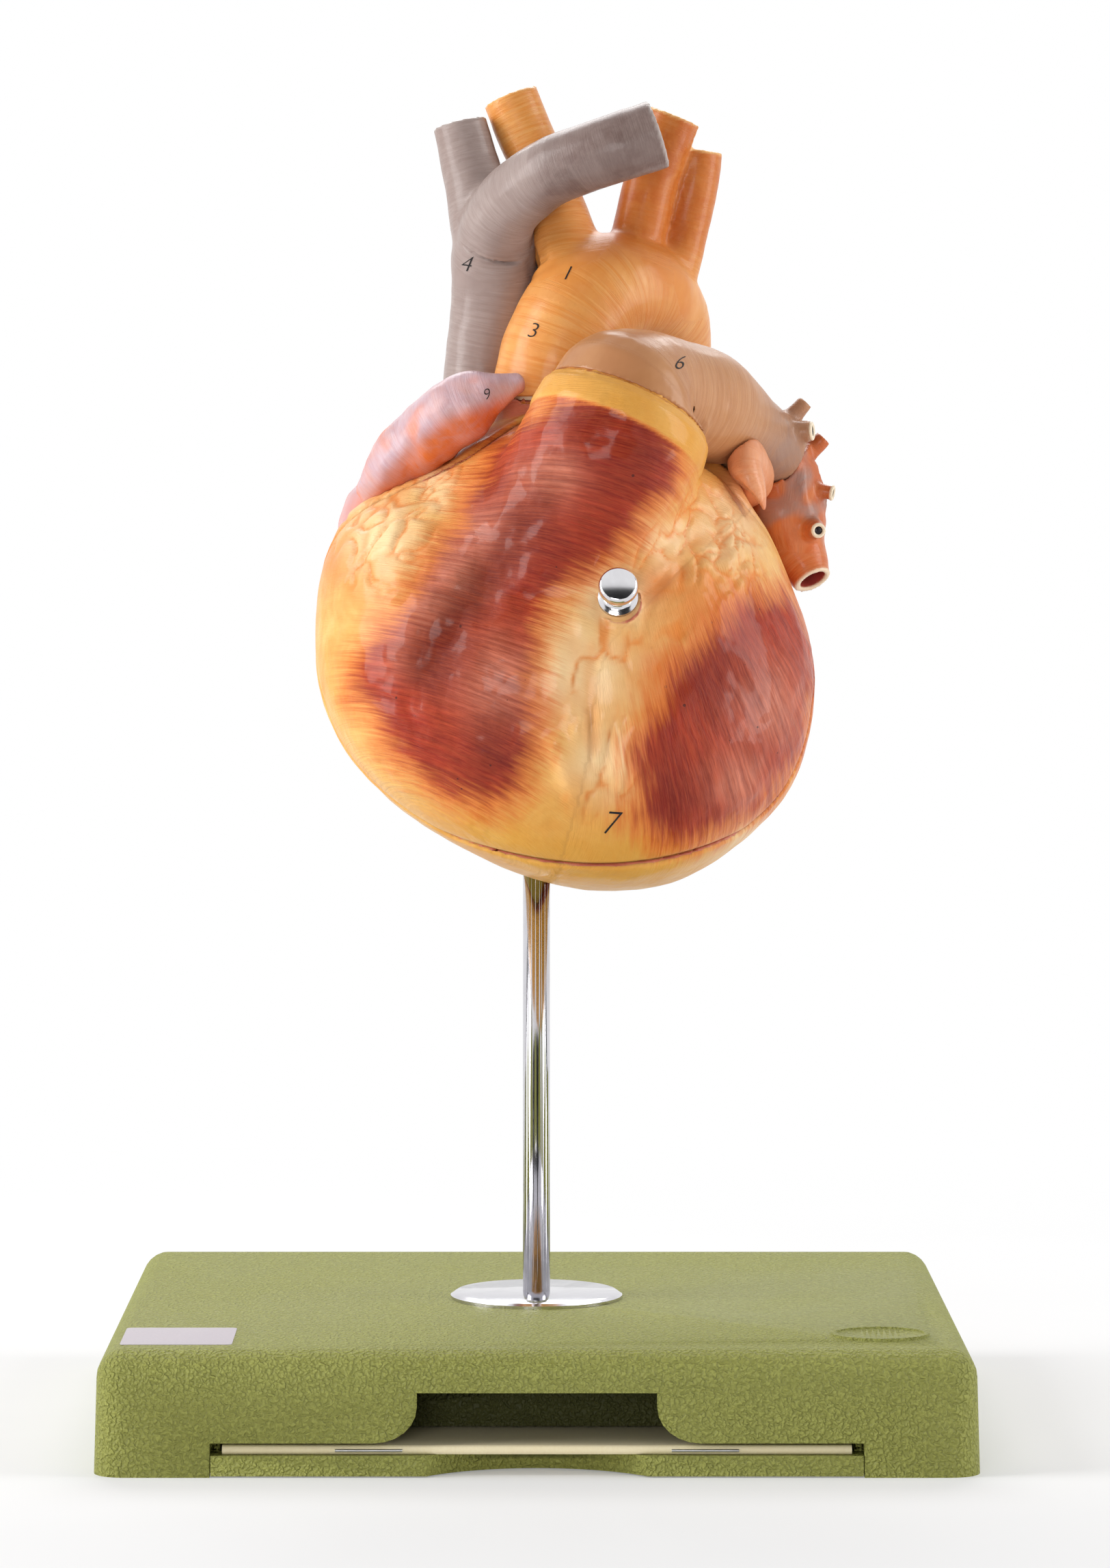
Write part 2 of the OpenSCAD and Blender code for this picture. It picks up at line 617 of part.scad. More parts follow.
// Short vessel by which the left lung's veins come out of the atrium
module left_root_foot(grow = 0) {
    vessel([[44, 25, 80, 6], [51, 20, 81, 6], [57, 16, 82, 6]], 2, 14, grow);
}
module left_auricle() color(fat_yellow) in_heart() {
    difference() {
        vessel([[44, 17, 81, 4.5], [47.5, 6, 84.5, 5], [47, -3, 88, 5.6], [45.5, -10, 89.5, 5],
                [46, -13, 84, 4.4], [47.8, -14, 78, 2]], 3, twig_sides + 4);
        ventricle_mass(seam_gap);
        front_wall_path(1.5 * seam_gap);
        left_atrium_mass(bond_gap);
        left_root_foot(bond_gap);
        vessel(left_root, 2, 16, bond_gap);
        trunk_path_clear();
    }
}
// Veins and arteries cut off short at the left lung
left_root = [[53.5, 13.6, 91, 7.5], [54.5, 15.2, 86, 7.8], [55.5, 16, 79, 9], [57, 15.5, 71.5, 8.3],
             [60, 13.5, 66, 5.8], [61.9, 11.5, 62.3, 4.4]];
left_stubs = [
    [[56, 16, 87, 4], [60, 16, 90, 2.4], [64.4, 16, 94.3, 1.8]],
    [[57, 15, 83, 4.5], [62, 13, 82.7, 2.2], [66, 12, 82, 1.8]],
    [[58, 14, 74, 4.5], [61.5, 8, 73.9, 2.4], [62.6, 4, 73.7, 1.75]],
    [[57, 20, 84, 4.5], [57, 28, 86, 3.6], [58, 32, 87, 3.3]],
];
module left_lung_root() color(root_tan) in_heart() {
    difference() {
        union() {
            vessel(left_root, 2, 16);
            for (s = left_stubs) vessel(s, 2, twig_sides);
            left_root_foot();
        }
        ventricle_mass(bond_gap);
        left_atrium_mass(bond_gap);
        trunk_path_clear();
        end_bore(left_root, vein_wall, 16);
    }
}
right_root = [
    [[2, 34, 92, 7], [-10, 37, 93, 7.5], [-22, 37, 92, 7], [-31, 36, 90, 6.5]],
    [[0, 36, 82, 5.5], [-12, 40, 80, 5.5], [-24, 42, 78, 5], [-31, 41, 76, 5]],
    [[4, 38, 76, 5], [-8, 43, 70, 5], [-19, 45, 66, 5], [-27, 44, 62, 5]],
];
module right_lung_root() color(root_tan) in_heart() {
    difference() {
        for (r = right_root) vessel(r, 2, 12);
        ventricle_mass(bond_gap);
        right_atrium_mass(bond_gap);
        left_atrium_mass(bond_gap);
        for (r = right_root) end_bore(r, vein_wall, 12);
    }
}
cava_low = [[-26, 30, 62, 9], [-26, 35, 54, 9], [-25, 38, 46, 9], [-24, 39, 38, 9]];
module inferior_cava() color(vein_grey) in_heart() {
    difference() {
        vessel(cava_low, 3, 16);
        ventricle_mass(bond_gap);
        right_atrium_mass(bond_gap);
        for (r = right_root) vessel(r, 2, 12, bond_gap);
        end_bore(cava_low, vein_wall, 16, 3);
    }
}

// ---- Valves ----
leaf_t = 0.8;
leaf_h = 13;
module skirt_valve(r, h, cuts) {
    // Ring with leaflets that hang in the chamber; slits part the leaflets
    translate([0, 0, -1]) rotate_extrude() translate([r - 1.6, 0]) square([1.6 - eps, 2]);
    difference() {
        rotate_extrude() polygon([[r - 1, 0], [r - 1.6 - leaf_t, 0], [r * 0.72 - leaf_t, -h * 0.6],
            [r * 0.42 - leaf_t, -h], [r * 0.42, -h], [r * 0.72, -h * 0.6]]);
        for (a = cuts) rotate(a) translate([0, -0.6, -h - 1]) cube([r, 1.2, h * 0.72]);
    }
}
module pocket_valve(r, h) {
    // Ring with three half moon pockets that close upwards
    pocket_r = r * 0.44;
    rotate_extrude() translate([r - 1.4, 0]) square([1.4, h]);
    for (a = [90, 210, 330]) rotate(a) intersection() {
        translate([r * 0.52, 0, h]) difference() {
            sphere(pocket_r);
            sphere(pocket_r - leaf_t);
            translate([0, 0, r]) cube(2 * r, center = true);
        }
        cylinder(r = r - 1, h = 2 * h, center = true);
    }
}
module mitral_valve() color(leaflet_white) in_heart() {
    along(mitral_at, mitral_dir) skirt_valve(mitral_r - bond_gap, leaf_h, [20, 200]);
}
module tricuspid_valve() color(leaflet_white) in_heart() {
    along(tricuspid_at, tricuspid_dir) skirt_valve(tricuspid_r - bond_gap, leaf_h, [30, 150, 270]);
}
aortic_valve_h = 9;
valve_up = 3;                                 // how far the valve's ring stands up into the aorta
collar_z = aortic_at[2] + collar_h;
module aortic_valve() color(leaflet_white) in_heart() {
    translate([aortic_at[0], aortic_at[1], collar_z + valve_up - aortic_valve_h])
        pocket_valve(aortic_r - bond_gap, aortic_valve_h);
}
pulmonary_r = 13.5;
module pulmonary_valve() color(leaflet_white) in_heart() {
    along(ring_at - 8 * ring_dir, ring_dir) pocket_valve(pulmonary_r - 2 * bond_gap, 7);
}

// ---- Pins and magnets ----
module seam_pieces(places, r, h, side) {
    // side 1 lies in the rear half, -1 in the front wall, 0 in both
    for (p = places) translate([p[0], parting_y(p[1]) + side * h / 2, p[1]]) rotate([90, 0, 0])
        cylinder(r = r, h = h, center = true);
}
module locating_pins() color(steel) in_heart() {
    seam_pieces(front_pins, pin_r, pin_len - 1, 0);
}
module rear_magnets() color(steel) in_heart() {
    translate([0, seam_gap, 0]) seam_pieces(front_mags, magnet_r, magnet_t - 0.4, 1);
}
module front_magnets() color(steel) in_heart() {
    translate([0, -seam_gap, 0]) seam_pieces(front_mags, magnet_r, magnet_t - 0.4, -1);
}

// ---- Front wall and its knob ----
knob_dir = [0, -cos(knob_tilt), sin(knob_tilt)];
knob_at = [17.4, -front_depth * 0.93, 59.5];
insert_r = shank_r + 1.4;
module front_wall() color(fat_yellow) in_heart() {
    difference() {
        union() {
            intersection() {
                union() {
                    ventricle_mass();
                    conus_mass();
                }
                front_side(seam_gap);
            }
            conus_top();
            along(knob_at - 8 * knob_dir, knob_dir) cylinder(r = knob_r + 0.8, h = 8, $fn = 32);
        }
        chambers();
        along(knob_at, knob_dir) cylinder(r = knob_r + 1, h = 8, $fn = 32);
        along(knob_at - (shank_len + 2) * knob_dir, knob_dir)
            cylinder(r = insert_r + seat_gap, h = shank_len + 3, $fn = hole_sides);
        along(ring_at - 8.1 * ring_dir, ring_dir) cylinder(r = pulmonary_r, h = 20, $fn = 36);
        for (p = front_pins) seam_hole(p, pin_r + 2 * seat_gap, pin_len / 2 + seat_gap);
        for (p = front_mags) seam_hole(p, magnet_r + seat_gap, magnet_t + seat_gap);
    }
}
module knob() color(steel) in_heart() {
    foot = 1.3;
    cap = knob_h * 0.4;
    waist = knob_r * 0.6;
    along(knob_at, knob_dir) {
        rotate_extrude() polygon(concat([[0, 0], [knob_r, 0], [knob_r, foot * 0.7], [knob_r * 0.8, foot]],
            [for (a = [0 : 15 : 180]) let (mid_h = (knob_h - cap - foot) / 2)
                [knob_r * 0.8 - (knob_r * 0.8 - waist) * sin(a), foot + mid_h * (1 - cos(a))]],
            [for (a = [-90 : 18 : 90]) [knob_r - 0.8 + 0.8 * cos(a), knob_h - cap / 2 + cap / 2 * sin(a)]],
            [[0, knob_h]]));
        translate([0, 0, -shank_len]) cylinder(r = shank_r, h = shank_len + eps);
    }
}
module knob_insert() color(brass) in_heart() {
    along(knob_at - (shank_len + 1) * knob_dir, knob_dir) difference() {
        cylinder(r = insert_r, h = shank_len);
        translate([0, 0, -1]) cylinder(r = shank_r + fit, h = shank_len + 2);
    }
}

// ---- Great vessels, lifted off together ----
arch = [[2, 2, 98, 12.6], [3, 2, 106, 12.5], [5, 2, 114, 12.5], [9.5, 4, 122, 12.7], [16, 9, 127, 13],
        [23, 16, 126.5, 12.3], [28, 25, 121, 11], [29.5, 31, 113, 10.3], [30, 34, 105, 10]];
arch_branches = [
    [[8, 8, 132, 7.5], [6, 12, 141, 6.6], [2.6, 15, 151, 6.3], [-2, 17, 161.5, 6.3], [-5.9, 18, 171, 6.3]],
    [[21, 13, 132, 6.5], [23, 14.5, 141, 6], [25.4, 15, 151, 5.9], [28.6, 15, 161, 6], [30.7, 15, 166.5, 6]],
    [[30, 18, 130, 6], [33, 20, 140.6, 5.6], [35.4, 20, 151, 5.5], [36.5, 20, 159, 5.5]],
];
module aorta_mass(grow = 0) {
    vessel(arch, 2, vessel_sides, grow);
    for (b = arch_branches) vessel(b, 2, twig_sides + 2, grow);
}
module aorta() color(artery_orange) in_heart() {
    difference() {
        aorta_mass();
        translate([0, 0, collar_z + seam_gap - 50]) cube([60, 60, 100], center = true);
        translate([aortic_at[0], aortic_at[1], collar_z])
            cylinder(r = aortic_r + seam_gap, h = valve_up + 2, $fn = 36);
        for (b = arch_branches) end_bore(b, artery_wall, twig_sides + 2);
        end_bore(arch, artery_wall);
    }
}
cava = [concat(cava_foot + [0, 0, seam_gap], 9), [-11.6, 16, 112, 8.9], [-10, 15, 121, 8.6],
        [-9.4, 14, 129, 8.6], [-10, 12, 137, 8.8], [-11.2, 11, 143, 8]];
cava_right = [[-11.2, 11.3, 141, 8], [-12.8, 12.5, 148, 7.3], [-14.8, 14, 155, 6.6], [-17.2, 15, 164.8, 6]];
cava_left = [[-10, 8, 137.5, 7.5], [-6.2, 2, 146, 7.6], [1, -6.5, 151.6, 7.6], [8.3, -11.5, 154.7, 7.6],
             [17.5, -14.5, 157.7, 7.6], [26.8, -14.5, 160.8, 7.6]];
module superior_cava() color(vein_grey) in_heart() {
    difference() {
        union() {
            vessel(cava, 2, 18);
            vessel(cava_right, 2, 14);
            vessel(cava_left, 2, 14);
        }
        aorta_mass(bond_gap);
        translate(cava_foot + [0, 0, seam_gap - 20]) cube([60, 60, 40], center = true);
        end_bore(cava_right, vein_wall, 14);
        end_bore(cava_left, vein_wall, 14);
    }
}

// ---- Pulmonary trunk ----
trunk = [concat(ring_at - 4 * ring_dir, 18.8), concat(ring_at, 18.4), concat(ring_at + 2 * ring_dir, 17),
         [24, -22.5, 104, 13.8], [30, -16, 102.8, 12.8], [36, -8.5, 101.3, 12.8],
         [42, 0, 98, 11], [48, 7.5, 94.5, 9.2], [54, 14, 91, 8.2]];
foot_gap = 0.7;                               // between the trunk's foot and the ring it sits on
trunk_off = unit([0.25, -0.45, 0.857]);       // way in which the trunk lifts off
trunk_stubs = [
    [[50, 11, 94.5, 4.5], [56, 12.5, 98, 2.6], [60.2, 13, 102.3, 1.8]],
    [[49, 9, 94.5, 5], [55.5, 8.5, 95.4, 3.2], [61.2, 7, 95.8, 2.2]],
];
module trunk_mass(grow = 0) {
    difference() {
        vessel(trunk, 2, vessel_sides, grow);
        along(ring_at + (foot_gap - grow) * ring_dir, -ring_dir)
            cylinder(r = 2 * ring_r, h = 30, $fn = 16);
    }
    for (s = trunk_stubs) vessel(s, 2, twig_sides, grow);
}
module trunk_path_clear() {
    for (t = [0, 5, 11]) translate(t * trunk_off) trunk_mass(seam_gap);
}
pin_foot = [37.3, -0.5, 80.5];
module trunk_pin() color(steel) in_heart() {
    along(pin_foot, trunk_off) cylinder(r = pin_r, h = pin_len);
}
module pulmonary_trunk() color(artery_orange) in_heart() {
    difference() {
        trunk_mass();
        ventricle_mass(seam_gap);
        along(ring_at + (foot_gap - 1) * ring_dir, ring_dir)
            cylinder(r = pulmonary_r + 0.5, h = 6, $fn = 36);
        along(pin_foot, trunk_off) cylinder(r = pin_r + 2 * seat_gap, h = pin_len + 1, $fn = hole_sides);
    }
}

base_shell();
base_floor();
floor_screws();
stand_flange();
stand_rod();
rod_washer();
rod_nut();
booklet_cover();
booklet_pages();
booklet_staples();
turn_washer();
ventricle_rear();
rod_socket();
right_atrium();
right_auricle();
left_atrium();
left_auricle();
left_lung_root();
right_lung_root();
inferior_cava();
mitral_valve();
tricuspid_valve();
aortic_valve();
papillary_muscles();
locating_pins();
rear_magnets();
front_wall();
knob();
knob_insert();
front_magnets();
pulmonary_valve();
aorta();
superior_cava();
pulmonary_trunk();
trunk_pin();
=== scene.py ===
# %% [markdown]
# # A heart model on its stand
#
# This lesson dresses a teaching model of the human heart: a painted cast in several pieces, on a thin
# chrome rod above a moulded base. The construction is already fixed, so the first cell loads it and
# everything that follows is fitted to it. All lengths are in metres; MM turns millimetres into metres.

import json
import math

import bmesh
import bpy
import numpy as np
from mathutils import Matrix, Vector, noise
from mathutils.bvhtree import BVHTree

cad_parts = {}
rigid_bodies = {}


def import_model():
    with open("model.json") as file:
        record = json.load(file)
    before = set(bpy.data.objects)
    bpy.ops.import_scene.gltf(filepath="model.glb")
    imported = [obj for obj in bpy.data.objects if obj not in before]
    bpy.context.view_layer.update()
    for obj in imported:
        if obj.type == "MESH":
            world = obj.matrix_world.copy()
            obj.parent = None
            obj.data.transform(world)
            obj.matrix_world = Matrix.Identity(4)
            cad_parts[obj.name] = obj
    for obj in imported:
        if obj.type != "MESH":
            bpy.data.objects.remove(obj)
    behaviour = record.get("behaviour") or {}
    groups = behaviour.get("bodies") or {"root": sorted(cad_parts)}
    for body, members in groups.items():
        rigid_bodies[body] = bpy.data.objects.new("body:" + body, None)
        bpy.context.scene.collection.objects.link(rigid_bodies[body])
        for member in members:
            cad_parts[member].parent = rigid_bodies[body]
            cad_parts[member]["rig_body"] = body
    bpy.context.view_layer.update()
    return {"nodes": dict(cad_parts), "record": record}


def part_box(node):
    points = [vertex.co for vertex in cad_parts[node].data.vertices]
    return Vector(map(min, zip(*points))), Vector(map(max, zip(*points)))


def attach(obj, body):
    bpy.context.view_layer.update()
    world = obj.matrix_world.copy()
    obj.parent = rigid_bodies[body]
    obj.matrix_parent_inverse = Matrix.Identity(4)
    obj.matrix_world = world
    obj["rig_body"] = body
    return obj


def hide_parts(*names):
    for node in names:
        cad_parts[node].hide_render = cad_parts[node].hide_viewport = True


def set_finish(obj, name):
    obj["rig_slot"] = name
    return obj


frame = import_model()
NODES = frame["nodes"]
BODY_OF = {node: body for body, nodes in frame["record"]["behaviour"]["bodies"].items() for node in nodes}
MM = 0.001
HEART_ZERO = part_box("rod_socket")[0].z        # mouth of the rod's socket: the heart's own zero height
print("nodes:", len(NODES), "heart's zero at", round(HEART_ZERO / MM, 2), "mm")

# %% [markdown]
# ## The camera
#
# The photograph was taken from straight ahead and a little above, with a long lens that stays level:
# upright edges stay upright in it. The camera therefore looks straight ahead, and its picture is shifted
# down to the stand. It comes first, because every later decision about what shows is made through it.

# %% Camera
CAMERA_AT = Vector((-1.8, -1282.0, 211.1)) * MM
CAMERA_LENS = 132.9                           # millimetres on a 36 mm sensor
CAMERA_SHIFT = (0.0170, -0.2058)              # of the longer side of the picture

camera = bpy.data.objects.new("camera", bpy.data.cameras.new("camera"))
camera.data.lens = CAMERA_LENS
camera.data.sensor_width = 36
camera.location = CAMERA_AT
camera.rotation_euler = (math.radians(90), 0, 0)
camera.data.shift_x, camera.data.shift_y = CAMERA_SHIFT
bpy.context.scene.collection.objects.link(camera)
bpy.context.scene.camera = camera
print("camera", round(-CAMERA_AT.y, 3), "m in front of the stand")

# %% [markdown]
# ## Small tools for shaders
#
# A material here is a tree of nodes. Small helpers keep the trees short: one adds a node and sets or
# links its inputs, one turns eight bit colours into the linear ones that a shader expects, and others
# mix colours by a mask, lay several over each other, and do sums.

# %% Shader helpers
def srgb(red, green, blue):
    """A colour from 0 to 255, as the linear colour that shaders use."""
    def linear(c):
        c /= 255
        return c / 12.92 if c <= 0.04045 else ((c + 0.055) / 1.055) ** 2.4
    return (linear(red), linear(green), linear(blue), 1)


def add(tree, kind, inputs=None, **settings):
    """Adds a shader node; an input is a value or the socket that feeds it."""
    made = tree.nodes.new("ShaderNode" + kind)
    for name, value in settings.items():
        setattr(made, name, value)
    for name, value in (inputs or {}).items():
        if isinstance(value, bpy.types.NodeSocket):
            tree.links.new(value, made.inputs[name])
        else:
            made.inputs[name].default_value = value
    return made


def maths(tree, operation, first, second=0.0):
    return add(tree, "Math", {0: first, 1: second}, operation=operation).outputs[0]


def times(tree, first, second):
    return maths(tree, "MULTIPLY", first, second)


def plus(tree, first, second):
    return maths(tree, "ADD", first, second)


def mixed(tree, mask, first, second):
    """Colour that goes from first to second as the mask goes from 0 to 1."""
    return add(tree, "Mix", {0: mask, 6: first, 7: second}, data_type="RGBA").outputs[2]


def layered(tree, colour, *layers):
    """Lays more colours over one; each layer is (mask, share of the mask, colour)."""
    for mask, share, over in layers:
        colour = mixed(tree, times(tree, mask, share), colour, over)
    return colour


def between(tree, value, low, high):
    """0 where value is at low, 1 where it is at high, smooth between."""
    return add(tree, "MapRange", {"Value": value, "From Min": low, "From Max": high},
               interpolation_type="SMOOTHSTEP").outputs[0]


def new_material(name, **constants):
    """A material with one Principled shader, whose plain sockets are set here."""
    made = bpy.data.materials.new(name)
    made.use_nodes = True
    shader = made.node_tree.nodes["Principled BSDF"]
    for socket, value in constants.items():
        shader.inputs[socket.replace("_", " ")].default_value = value
    return made, made.node_tree, shader


def feed(tree, shader, **sockets):
    """Links masks and colours to the sockets of the shader."""
    for name, socket in sockets.items():
        tree.links.new(socket, shader.inputs[name.replace("_", " ")])


def bump(tree, shader, height, strength, distance):
    """Feeds a height to the shader's normal."""
    made = add(tree, "Bump", {"Height": height, "Strength": strength, "Distance": distance})
    feed(tree, shader, Normal=made.outputs[0])


def new_group(name, outputs, **numbers):
    """An empty shader group, whose inputs are a vector and numbers, and whose outputs are numbers."""
    tree = bpy.data.node_groups.new(name, "ShaderNodeTree")
    tree.interface.new_socket("Vector", in_out="INPUT", socket_type="NodeSocketVector")
    for label, value in numbers.items():
        socket = tree.interface.new_socket(label, in_out="INPUT", socket_type="NodeSocketFloat")
        socket.default_value = value
    for label in outputs:
        tree.interface.new_socket(label, in_out="OUTPUT", socket_type="NodeSocketFloat")
    return tree, tree.nodes.new("NodeGroupInput").outputs, tree.nodes.new("NodeGroupOutput").inputs


def use(tree, group, **inputs):
    """Places a group in a tree and gives its outputs."""
    return add(tree, "Group", inputs, node_tree=group).outputs


def object_place(tree):
    return add(tree, "TexCoord").outputs["Object"]


def stored(tree, name, output="Fac"):
    """Reads back a value that was stored on the points of a mesh."""
    return add(tree, "Attribute", attribute_name=name).outputs[output]


print("shader helpers ready")

# %% [markdown]
# ## Effects that several finishes share
#
# The casts are painted by hand, so brush streaks, blots and tiny air pits turn up on all of them. The
# stand is moulded with a leather grain, and every handled surface has faint smudges. Each effect is one
# node group that puts out a mask or a height, and every material chooses its own scale for it.

# %% Brush streaks
def make_streaks():
    """Long thin streaks along X of the given vector."""
    tree, given, result = new_group("Brush streaks", ("Streak", "Fine"), Length=20.0, Width=1.0)
    parts = add(tree, "SeparateXYZ", {0: given["Vector"]})
    for label, finer, seed in (("Streak", 1.0, 0.0), ("Fine", 2.7, 7.3)):
        along = maths(tree, "DIVIDE", parts.outputs[0], given["Length"])
        across = maths(tree, "DIVIDE", parts.outputs[1], given["Width"])
        place = add(tree, "CombineXYZ", {0: times(tree, along, finer),
                                         1: times(tree, across, finer), 2: seed})
        grain = add(tree, "TexNoise", {"Vector": place.outputs[0], "Scale": 1.0, "Detail": 3.0,
                                       "Roughness": 0.6, "Distortion": 0.3})
        tree.links.new(between(tree, grain.outputs[0], 0.3, 0.7), result[label])
    return tree


STREAKS = make_streaks()


# %% Air pits
def make_pits():
    """Scattered round pits: the mask is 1 in a pit, and only part of the cells have one."""
    tree, given, result = new_group("Air pits", ("Pit",), Spacing=0.004, Size=0.1, Share=0.4)
    place = add(tree, "VectorMath", {0: given["Vector"]}, operation="SCALE")
    tree.links.new(maths(tree, "DIVIDE", 1.0, given["Spacing"]), place.inputs["Scale"])
    cells = add(tree, "TexVoronoi", {"Vector": place.outputs[0], "Scale": 1.0})
    chance = add(tree, "SeparateXYZ", {0: cells.outputs["Color"]})
    size = times(tree, given["Size"], plus(tree, chance.outputs[1], 0.3))
    dot = maths(tree, "LESS_THAN", cells.outputs["Distance"], size)
    kept = maths(tree, "LESS_THAN", chance.outputs[0], given["Share"])
    tree.links.new(times(tree, dot, kept), result["Pit"])
    return tree


PITS = make_pits()


# %% Leather grain
def make_grain():
    """Fine wormy grain of a moulding, as a height, with a mask for its hollows."""
    tree, given, result = new_group("Leather grain", ("Height", "Hollow"), Scale=1000.0)
    warp = add(tree, "TexNoise", {"Vector": given["Vector"], "Scale": 900.0, "Detail": 1.0})
    shift = add(tree, "VectorMath", {0: warp.outputs["Color"], "Scale": 0.0009}, operation="SCALE")
    place = add(tree, "VectorMath", {0: given["Vector"], 1: shift.outputs[0]}, operation="ADD")
    cells = add(tree, "TexVoronoi", {"Vector": place.outputs[0], "Scale": given["Scale"]},
                feature="SMOOTH_F1")
    soft = between(tree, cells.outputs["Distance"], 0.15, 0.75)
    tree.links.new(maths(tree, "SUBTRACT", 1.0, soft), result["Height"])
    tree.links.new(soft, result["Hollow"])
    return tree


GRAIN = make_grain()


# %% Smudges
def make_smudges():
    """Faint cloudy marks for roughness and tone."""
    tree, given, result = new_group("Smudges", ("Mark",), Scale=30.0)
    cloud = add(tree, "TexNoise", {"Vector": given["Vector"], "Scale": given["Scale"], "Detail": 4.0,
                                   "Roughness": 0.65, "Distortion": 0.6})
    tree.links.new(between(tree, cloud.outputs[0], 0.35, 0.7), result["Mark"])
    return tree


SMUDGES = make_smudges()
print("shared effects:", [g.name for g in (STREAKS, PITS, GRAIN, SMUDGES)])

# %% [markdown]
# ## Forms to model against
#
# The frame's casts are cut from coarse facets. The real ones are smooth, so we make the true curved form
# once more with fine rings and bring the surface of each cast onto it. The rings of points are placed
# one after another, and the bridge operator skins them.

# %% Curves and rings
def stretch(a, b, c, d, steps):
    """Points of a smooth curve from b up to c, where a and d are the points before and after them."""
    return [0.5 * (2 * b + (c - a) * t + (2 * a - 5 * b + 4 * c - d) * t ** 2
                   + (3 * b - a - 3 * c + d) * t ** 3) for t in np.linspace(0, 1, steps, endpoint=False)]


def curve_through(points, steps):
    """Smooth open curve through rows of numbers, with that many steps to each stretch."""
    p = np.array(points, float)
    p = np.vstack([p[:1], p, p[-1:]])
    return np.vstack([stretch(*p[i - 1:i + 3], steps) for i in range(1, len(p) - 2)] + [p[-1]])


def loop_through(points, steps):
    """Smooth closed curve through points."""
    p = np.array(points, float)
    return np.vstack([stretch(*(p[(i + k) % len(p)] for k in (-1, 0, 1, 2)), steps) for i in range(len(p))])


def lofted(bm, rings):
    """Skins a row of rings of points, heart millimetres, and closes both ends."""
    loops = []
    for ring in rings:
        verts = [bm.verts.new((p[0] * MM, p[1] * MM, p[2] * MM + HEART_ZERO)) for p in ring]
        loops.append([bm.edges.new((verts[i - 1], verts[i])) for i in range(len(verts))])
    for first, second in zip(loops, loops[1:]):
        bmesh.ops.bridge_loops(bm, edges=first + second)
    for end in (loops[0], loops[-1]):
        bmesh.ops.contextual_create(bm, geom=end)


def circle_ring(at, direction, radius, sides):
    """A ring of points round a direction."""
    d = np.array(direction, float) / np.linalg.norm(direction)
    side = np.cross((0, 1, 0) if abs(d[1]) < 0.8 else (1, 0, 0), d)
    side /= np.linalg.norm(side)
    up = np.cross(d, side)
    turn = np.linspace(0, 2 * math.pi, sides, endpoint=False)[:, None]
    return np.array(at) + radius * (np.cos(turn) * side + np.sin(turn) * up)


def tube_rings(path, steps, sides):
    """Rings along a centre line of (x, y, z, radius)."""
    p = curve_through(path, steps)
    return [circle_ring(p[i][:3], p[min(i + 1, len(p) - 1)][:3] - p[max(i - 1, 0)][:3], p[i][3], sides)
            for i in range(len(p))]


print("curve helpers ready")


# %% Meshes and their points
def as_object(name, mesh):
    made = bpy.data.objects.new(name, mesh)
    bpy.context.scene.collection.objects.link(made)
    return made


def as_mesh(bm, name):
    """Turns the working mesh of the operators into a mesh of its own."""
    mesh = bpy.data.meshes.new(name)
    bm.to_mesh(mesh)
    bm.free()
    return mesh


def even_skin(mesh, voxel):
    """One closed skin of even small faces over closed shapes, fused where they overlap."""
    worker = as_object("worker", mesh)
    remesh = worker.modifiers.new("skin", "REMESH")
    remesh.mode = "VOXEL"
    remesh.voxel_size = voxel * MM
    made = bpy.data.meshes.new_from_object(worker.evaluated_get(bpy.context.evaluated_depsgraph_get()))
    bpy.data.objects.remove(worker)
    return made


def rows_of(items, label):
    flat = np.empty(len(items) * 3)
    items.foreach_get(label, flat)
    return flat.reshape(-1, 3)


def points_of(mesh):
    return rows_of(mesh.vertices, "co")


def normals_of(mesh):
    return rows_of(mesh.vertex_normals, "vector")


def set_points(mesh, points):
    mesh.vertices.foreach_set("co", points.ravel())
    mesh.update()


STEP_IN, STEP_BACK = 0.5, -0.53               # share of the way to the neighbours' middle in one round


def relaxed(mesh, rounds, weight=1.0, keep_volume=True):
    """Evens out bumps: each point moves towards its neighbours, and half the time a little back again."""
    pairs = np.empty(len(mesh.edges) * 2, int)
    mesh.edges.foreach_get("vertices", pairs)
    first, second = pairs.reshape(-1, 2).T
    co = points_of(mesh)
    count = np.bincount(pairs, minlength=len(co))
    for step in range(rounds):
        total = np.stack([np.bincount(first, co[second, k], len(co))
                          + np.bincount(second, co[first, k], len(co)) for k in range(3)], 1)
        amount = STEP_BACK if keep_volume and step % 2 else STEP_IN
        co = co + (total / count[:, None] - co) * (amount * np.reshape(weight, (-1, 1)))
    set_points(mesh, co)


print("mesh helpers ready")

# %% [markdown]
# ### The ventricles' form
#
# From in front the ventricles are a leaning egg. Its widest outline is a closed curve; every other ring
# is that curve drawn in towards the middle, and pushed forwards or back. The outflow to the lungs is a
# short wide tube that grows out of the egg, and the two are blended where they meet.

# %% Ventricle form
MIDDLE = (7, 0, 50)
FRONT_DEPTH, REAR_DEPTH = 44, 34              # from the widest ring to the poles of the egg
FRONT_DROP, REAR_RISE = 16, 6                 # how far the poles lie below and above its middle
POLE = 0.985                                  # the first and last ring stop just short of the poles
WIDEST = [(4, 104), (30, 95), (48, 79), (57, 61), (62, 41), (56, 16), (36, -1.5), (18, -5.8), (-1, -3),
          (-28, 10.5), (-45, 29), (-49.4, 53), (-43, 76), (-20, 90)]
RING_AT = np.array((19.6, -27, 100.5))        # ring on which the lung artery's trunk sits
RING_DIRECTION = np.array((0.39, 0.26, 0.883))
RING_RADIUS = 19
